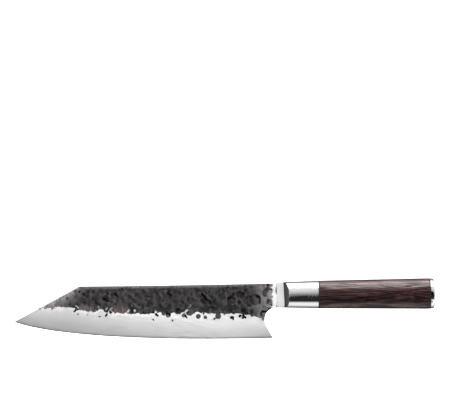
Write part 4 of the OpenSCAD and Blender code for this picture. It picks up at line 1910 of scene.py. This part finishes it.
@dataclass
class Studio:
    """A white floor, soft light all round, and the camera at the photograph's place.

    The ring gives the light round the knife's long axis: degrees from the camera upwards, and a level.
    A flag is a black card's left, right, bottom and top.
    """

    lens: float = 200.0
    sensor: float = 36.0
    floor_size: float = 12.0
    strength: float = 1.05
    flag_distance: float = 1.0
    lamps: tuple[SoftBox, ...] = (
        SoftBox("overhead", (-0.17, 0.0, 1.1), (2.2, 0.9), (0.0, 0.0, 0.0), 5.0),
        SoftBox("front_wide", (-0.55, -1.0, 0.3), (0.76, 1.1), (math.pi / 2, 0.0, 0.0), 0.12),
        SoftBox("front_heel", (-0.251, -0.98, 0.0), (0.168, 0.7), (math.pi / 2, 0.0, 0.0), 2.8),
        SoftBox("back_wide", (-0.55, 1.0, 0.3), (0.76, 1.1), (-math.pi / 2, 0.0, 0.0), 0.12),
        SoftBox("back_heel", (-0.251, 0.98, 0.0), (0.168, 0.7), (-math.pi / 2, 0.0, 0.0), 2.8),
        SoftBox("over_wood", (0.03, -0.66, 1.1), (0.2, 0.42), (0.0, 0.0, 0.0), 7.0),
        SoftBox("under_cap", (0.333, -0.66, -0.75), (0.534, 0.26), (2.42, 0.0, 0.0), 0.75),
        SoftBox("past_butt", (1.0, 0.75, 0.1), (1.2, 1.6), (math.pi / 2, 0.0, 2.215), 0.9),
        SoftBox("under_wood", (0.6, -0.2, -0.9), (0.5, 0.8), (math.pi, 0.0, 0.0), 3.0),
    )
    ring: tuple[tuple[float, float], ...] = (
        (-180, 0.04), (-140, 0.1), (-128, 0.22), (-117, 0.42), (-103, 0.86), (-85, 0.96), (-75, 0.88), (-65, 0.45),
        (-56, 0.02), (-10, 0.02), (-5, 0.12), (0, 0.16), (12, 0.34), (21, 0.51), (30, 0.63), (39, 0.73), (58, 0.86),
        (75, 1.0), (115, 1.0), (121, 0.8), (132, 0.42), (142, 0.2), (165, 0.05), (180, 0.04),
    )
    dark_side: tuple[float, float] = (-0.65, -0.5)
    dark_height: tuple[float, float] = (0.3, 0.45)
    dark_level: float = 0.03
    flags: tuple[tuple[float, float, float, float], ...] = ((-0.085, 0.066, -0.2, 0.93), (0.066, 0.4, -0.2, 0.32))

    def build(self) -> None:
        """Makes the floor, the lights and the camera."""
        self._floor()
        self._flags()
        for lamp in self.lamps:
            lamp.build()
        self._world()
        self._camera()

    def _floor(self) -> None:
        """A pale floor under the lowest point of the knife."""
        low = CAD_BOX[0].z
        half = self.floor_size / 2
        points = np.array([(-half, -half, low), (half, -half, low), (half, half, low), (-half, half, low)])
        floor = new_mesh("floor", points, [(0, 1, 2, 3)])
        paint = PlainFinish("pale_floor", (0.9, 0.9, 0.9, 1.0), 0.9, 3.0).build()
        shader = next(node for node in paint.node_tree.nodes if node.type == "BSDF_PRINCIPLED")
        shader.inputs["Emission Color"].default_value = grey(1.0)
        shader.inputs["Emission Strength"].default_value = 1.0
        floor.data.materials.append(paint)
        floor.visible_glossy = False
        floor.visible_diffuse = False
        floor.visible_shadow = False

    def _flags(self) -> None:
        """Black cards in front of the handle, which polished steel shows as dark bands."""
        cloth = PlainFinish("black_cloth", (0.002, 0.002, 0.002, 1.0), 1.0, 3.0).build()
        shader = next(node for node in cloth.node_tree.nodes if node.type == "BSDF_PRINCIPLED")
        shader.inputs["Specular IOR Level"].default_value = 0.0
        for number, (left, right, bottom, top) in enumerate(self.flags):
            corners = [(left, bottom), (right, bottom), (right, top), (left, top)]
            flag = new_mesh(
                f"black_card_{number}", np.array([(x, -self.flag_distance, z) for x, z in corners]), [(0, 1, 2, 3)]
            )
            flag.data.materials.append(cloth)
            flag.visible_camera = False
            flag.visible_diffuse = False

    def _world(self) -> None:
        """Soft light from all round, greyer in front and behind, as a studio with open ends has."""
        world = bpy.data.worlds.new("studio")
        bpy.context.scene.world = world
        world.use_nodes = True
        graph = Graph(world.node_tree)
        aim = graph.parts(graph.add("ShaderNodeTexCoord").outputs["Generated"])
        turn = graph.math("ARCTAN2", aim["Z"], graph.times(aim["Y"], -1.0))
        share = graph.plus(graph.math("DIVIDE", turn, math.tau), 0.5)
        ramp = graph.add("ShaderNodeValToRGB", {0: share})
        elements = ramp.color_ramp.elements
        while len(elements) > 1:
            elements.remove(elements[-1])
        for i, (angle, level) in enumerate(self.ring):
            place = angle / 360 + 0.5
            stop = elements[0] if i == 0 else elements.new(place)
            stop.position = place
            stop.color = grey(level)
        sideways = graph.remap(aim["X"], *self.dark_side, 1.0, 0.0)
        level = graph.remap(graph.math("ABSOLUTE", aim["Z"]), *self.dark_height, 1.0, 0.0)
        light = graph.blend(graph.times(sideways, level), ramp.outputs[0], grey(self.dark_level))
        seen = graph.add("ShaderNodeLightPath").outputs["Is Camera Ray"]
        shown = graph.add("ShaderNodeBackground", {"Color": grey(1.0), "Strength": 1.0})
        soft = graph.add("ShaderNodeBackground", {"Color": light, "Strength": self.strength})
        mix = graph.add("ShaderNodeMixShader", {0: seen, 1: soft.outputs[0], 2: shown.outputs[0]})
        output = graph.add("ShaderNodeOutputWorld")
        graph.link(mix.outputs[0], output.inputs["Surface"])
        bpy.context.scene.view_settings.view_transform = "Standard"

    def _camera(self) -> None:
        """The camera looks square at the blade's left flank, turned as the photograph is."""
        data = bpy.data.cameras.new("camera")
        data.lens = self.lens
        data.sensor_width = self.sensor
        camera = bpy.data.objects.new("camera", data)
        bpy.context.scene.collection.objects.link(camera)
        distance = self.lens / self.sensor * PHOTO_WIDTH * PHOTO_SCALE
        across = (PHOTO_WIDTH / 2 - BUTT_PIXEL[0]) * PHOTO_SCALE
        up = (BUTT_PIXEL[1] - PHOTO_HEIGHT / 2) * PHOTO_SCALE
        cos, sin = math.cos(PHOTO_TILT), math.sin(PHOTO_TILT)
        place = Vector((across * cos + up * sin, -distance, up * cos - across * sin))
        right, top, back = Vector((cos, 0, -sin)), Vector((sin, 0, cos)), Vector((0, -1, 0))
        camera.matrix_world = Matrix.Translation(place) @ Matrix((right, top, back)).transposed().to_4x4()
        data.clip_start, data.clip_end = 0.05, 100.0
        bpy.context.scene.camera = camera


def main() -> None:
    """Builds the knife and its studio, in order."""
    logging.basicConfig(level=logging.INFO, format="%(name)s: %(message)s")
    finishes = Finishes()
    tools = GeometryTools()
    Blade().build(finishes, tools)
    Bolster().build(finishes)
    HandleWood().build(finishes, tools)
    EndCap().build(finishes, tools)
    InnerPieces().build(finishes)
    Studio().build()


if __name__ == "__main__":
    main()
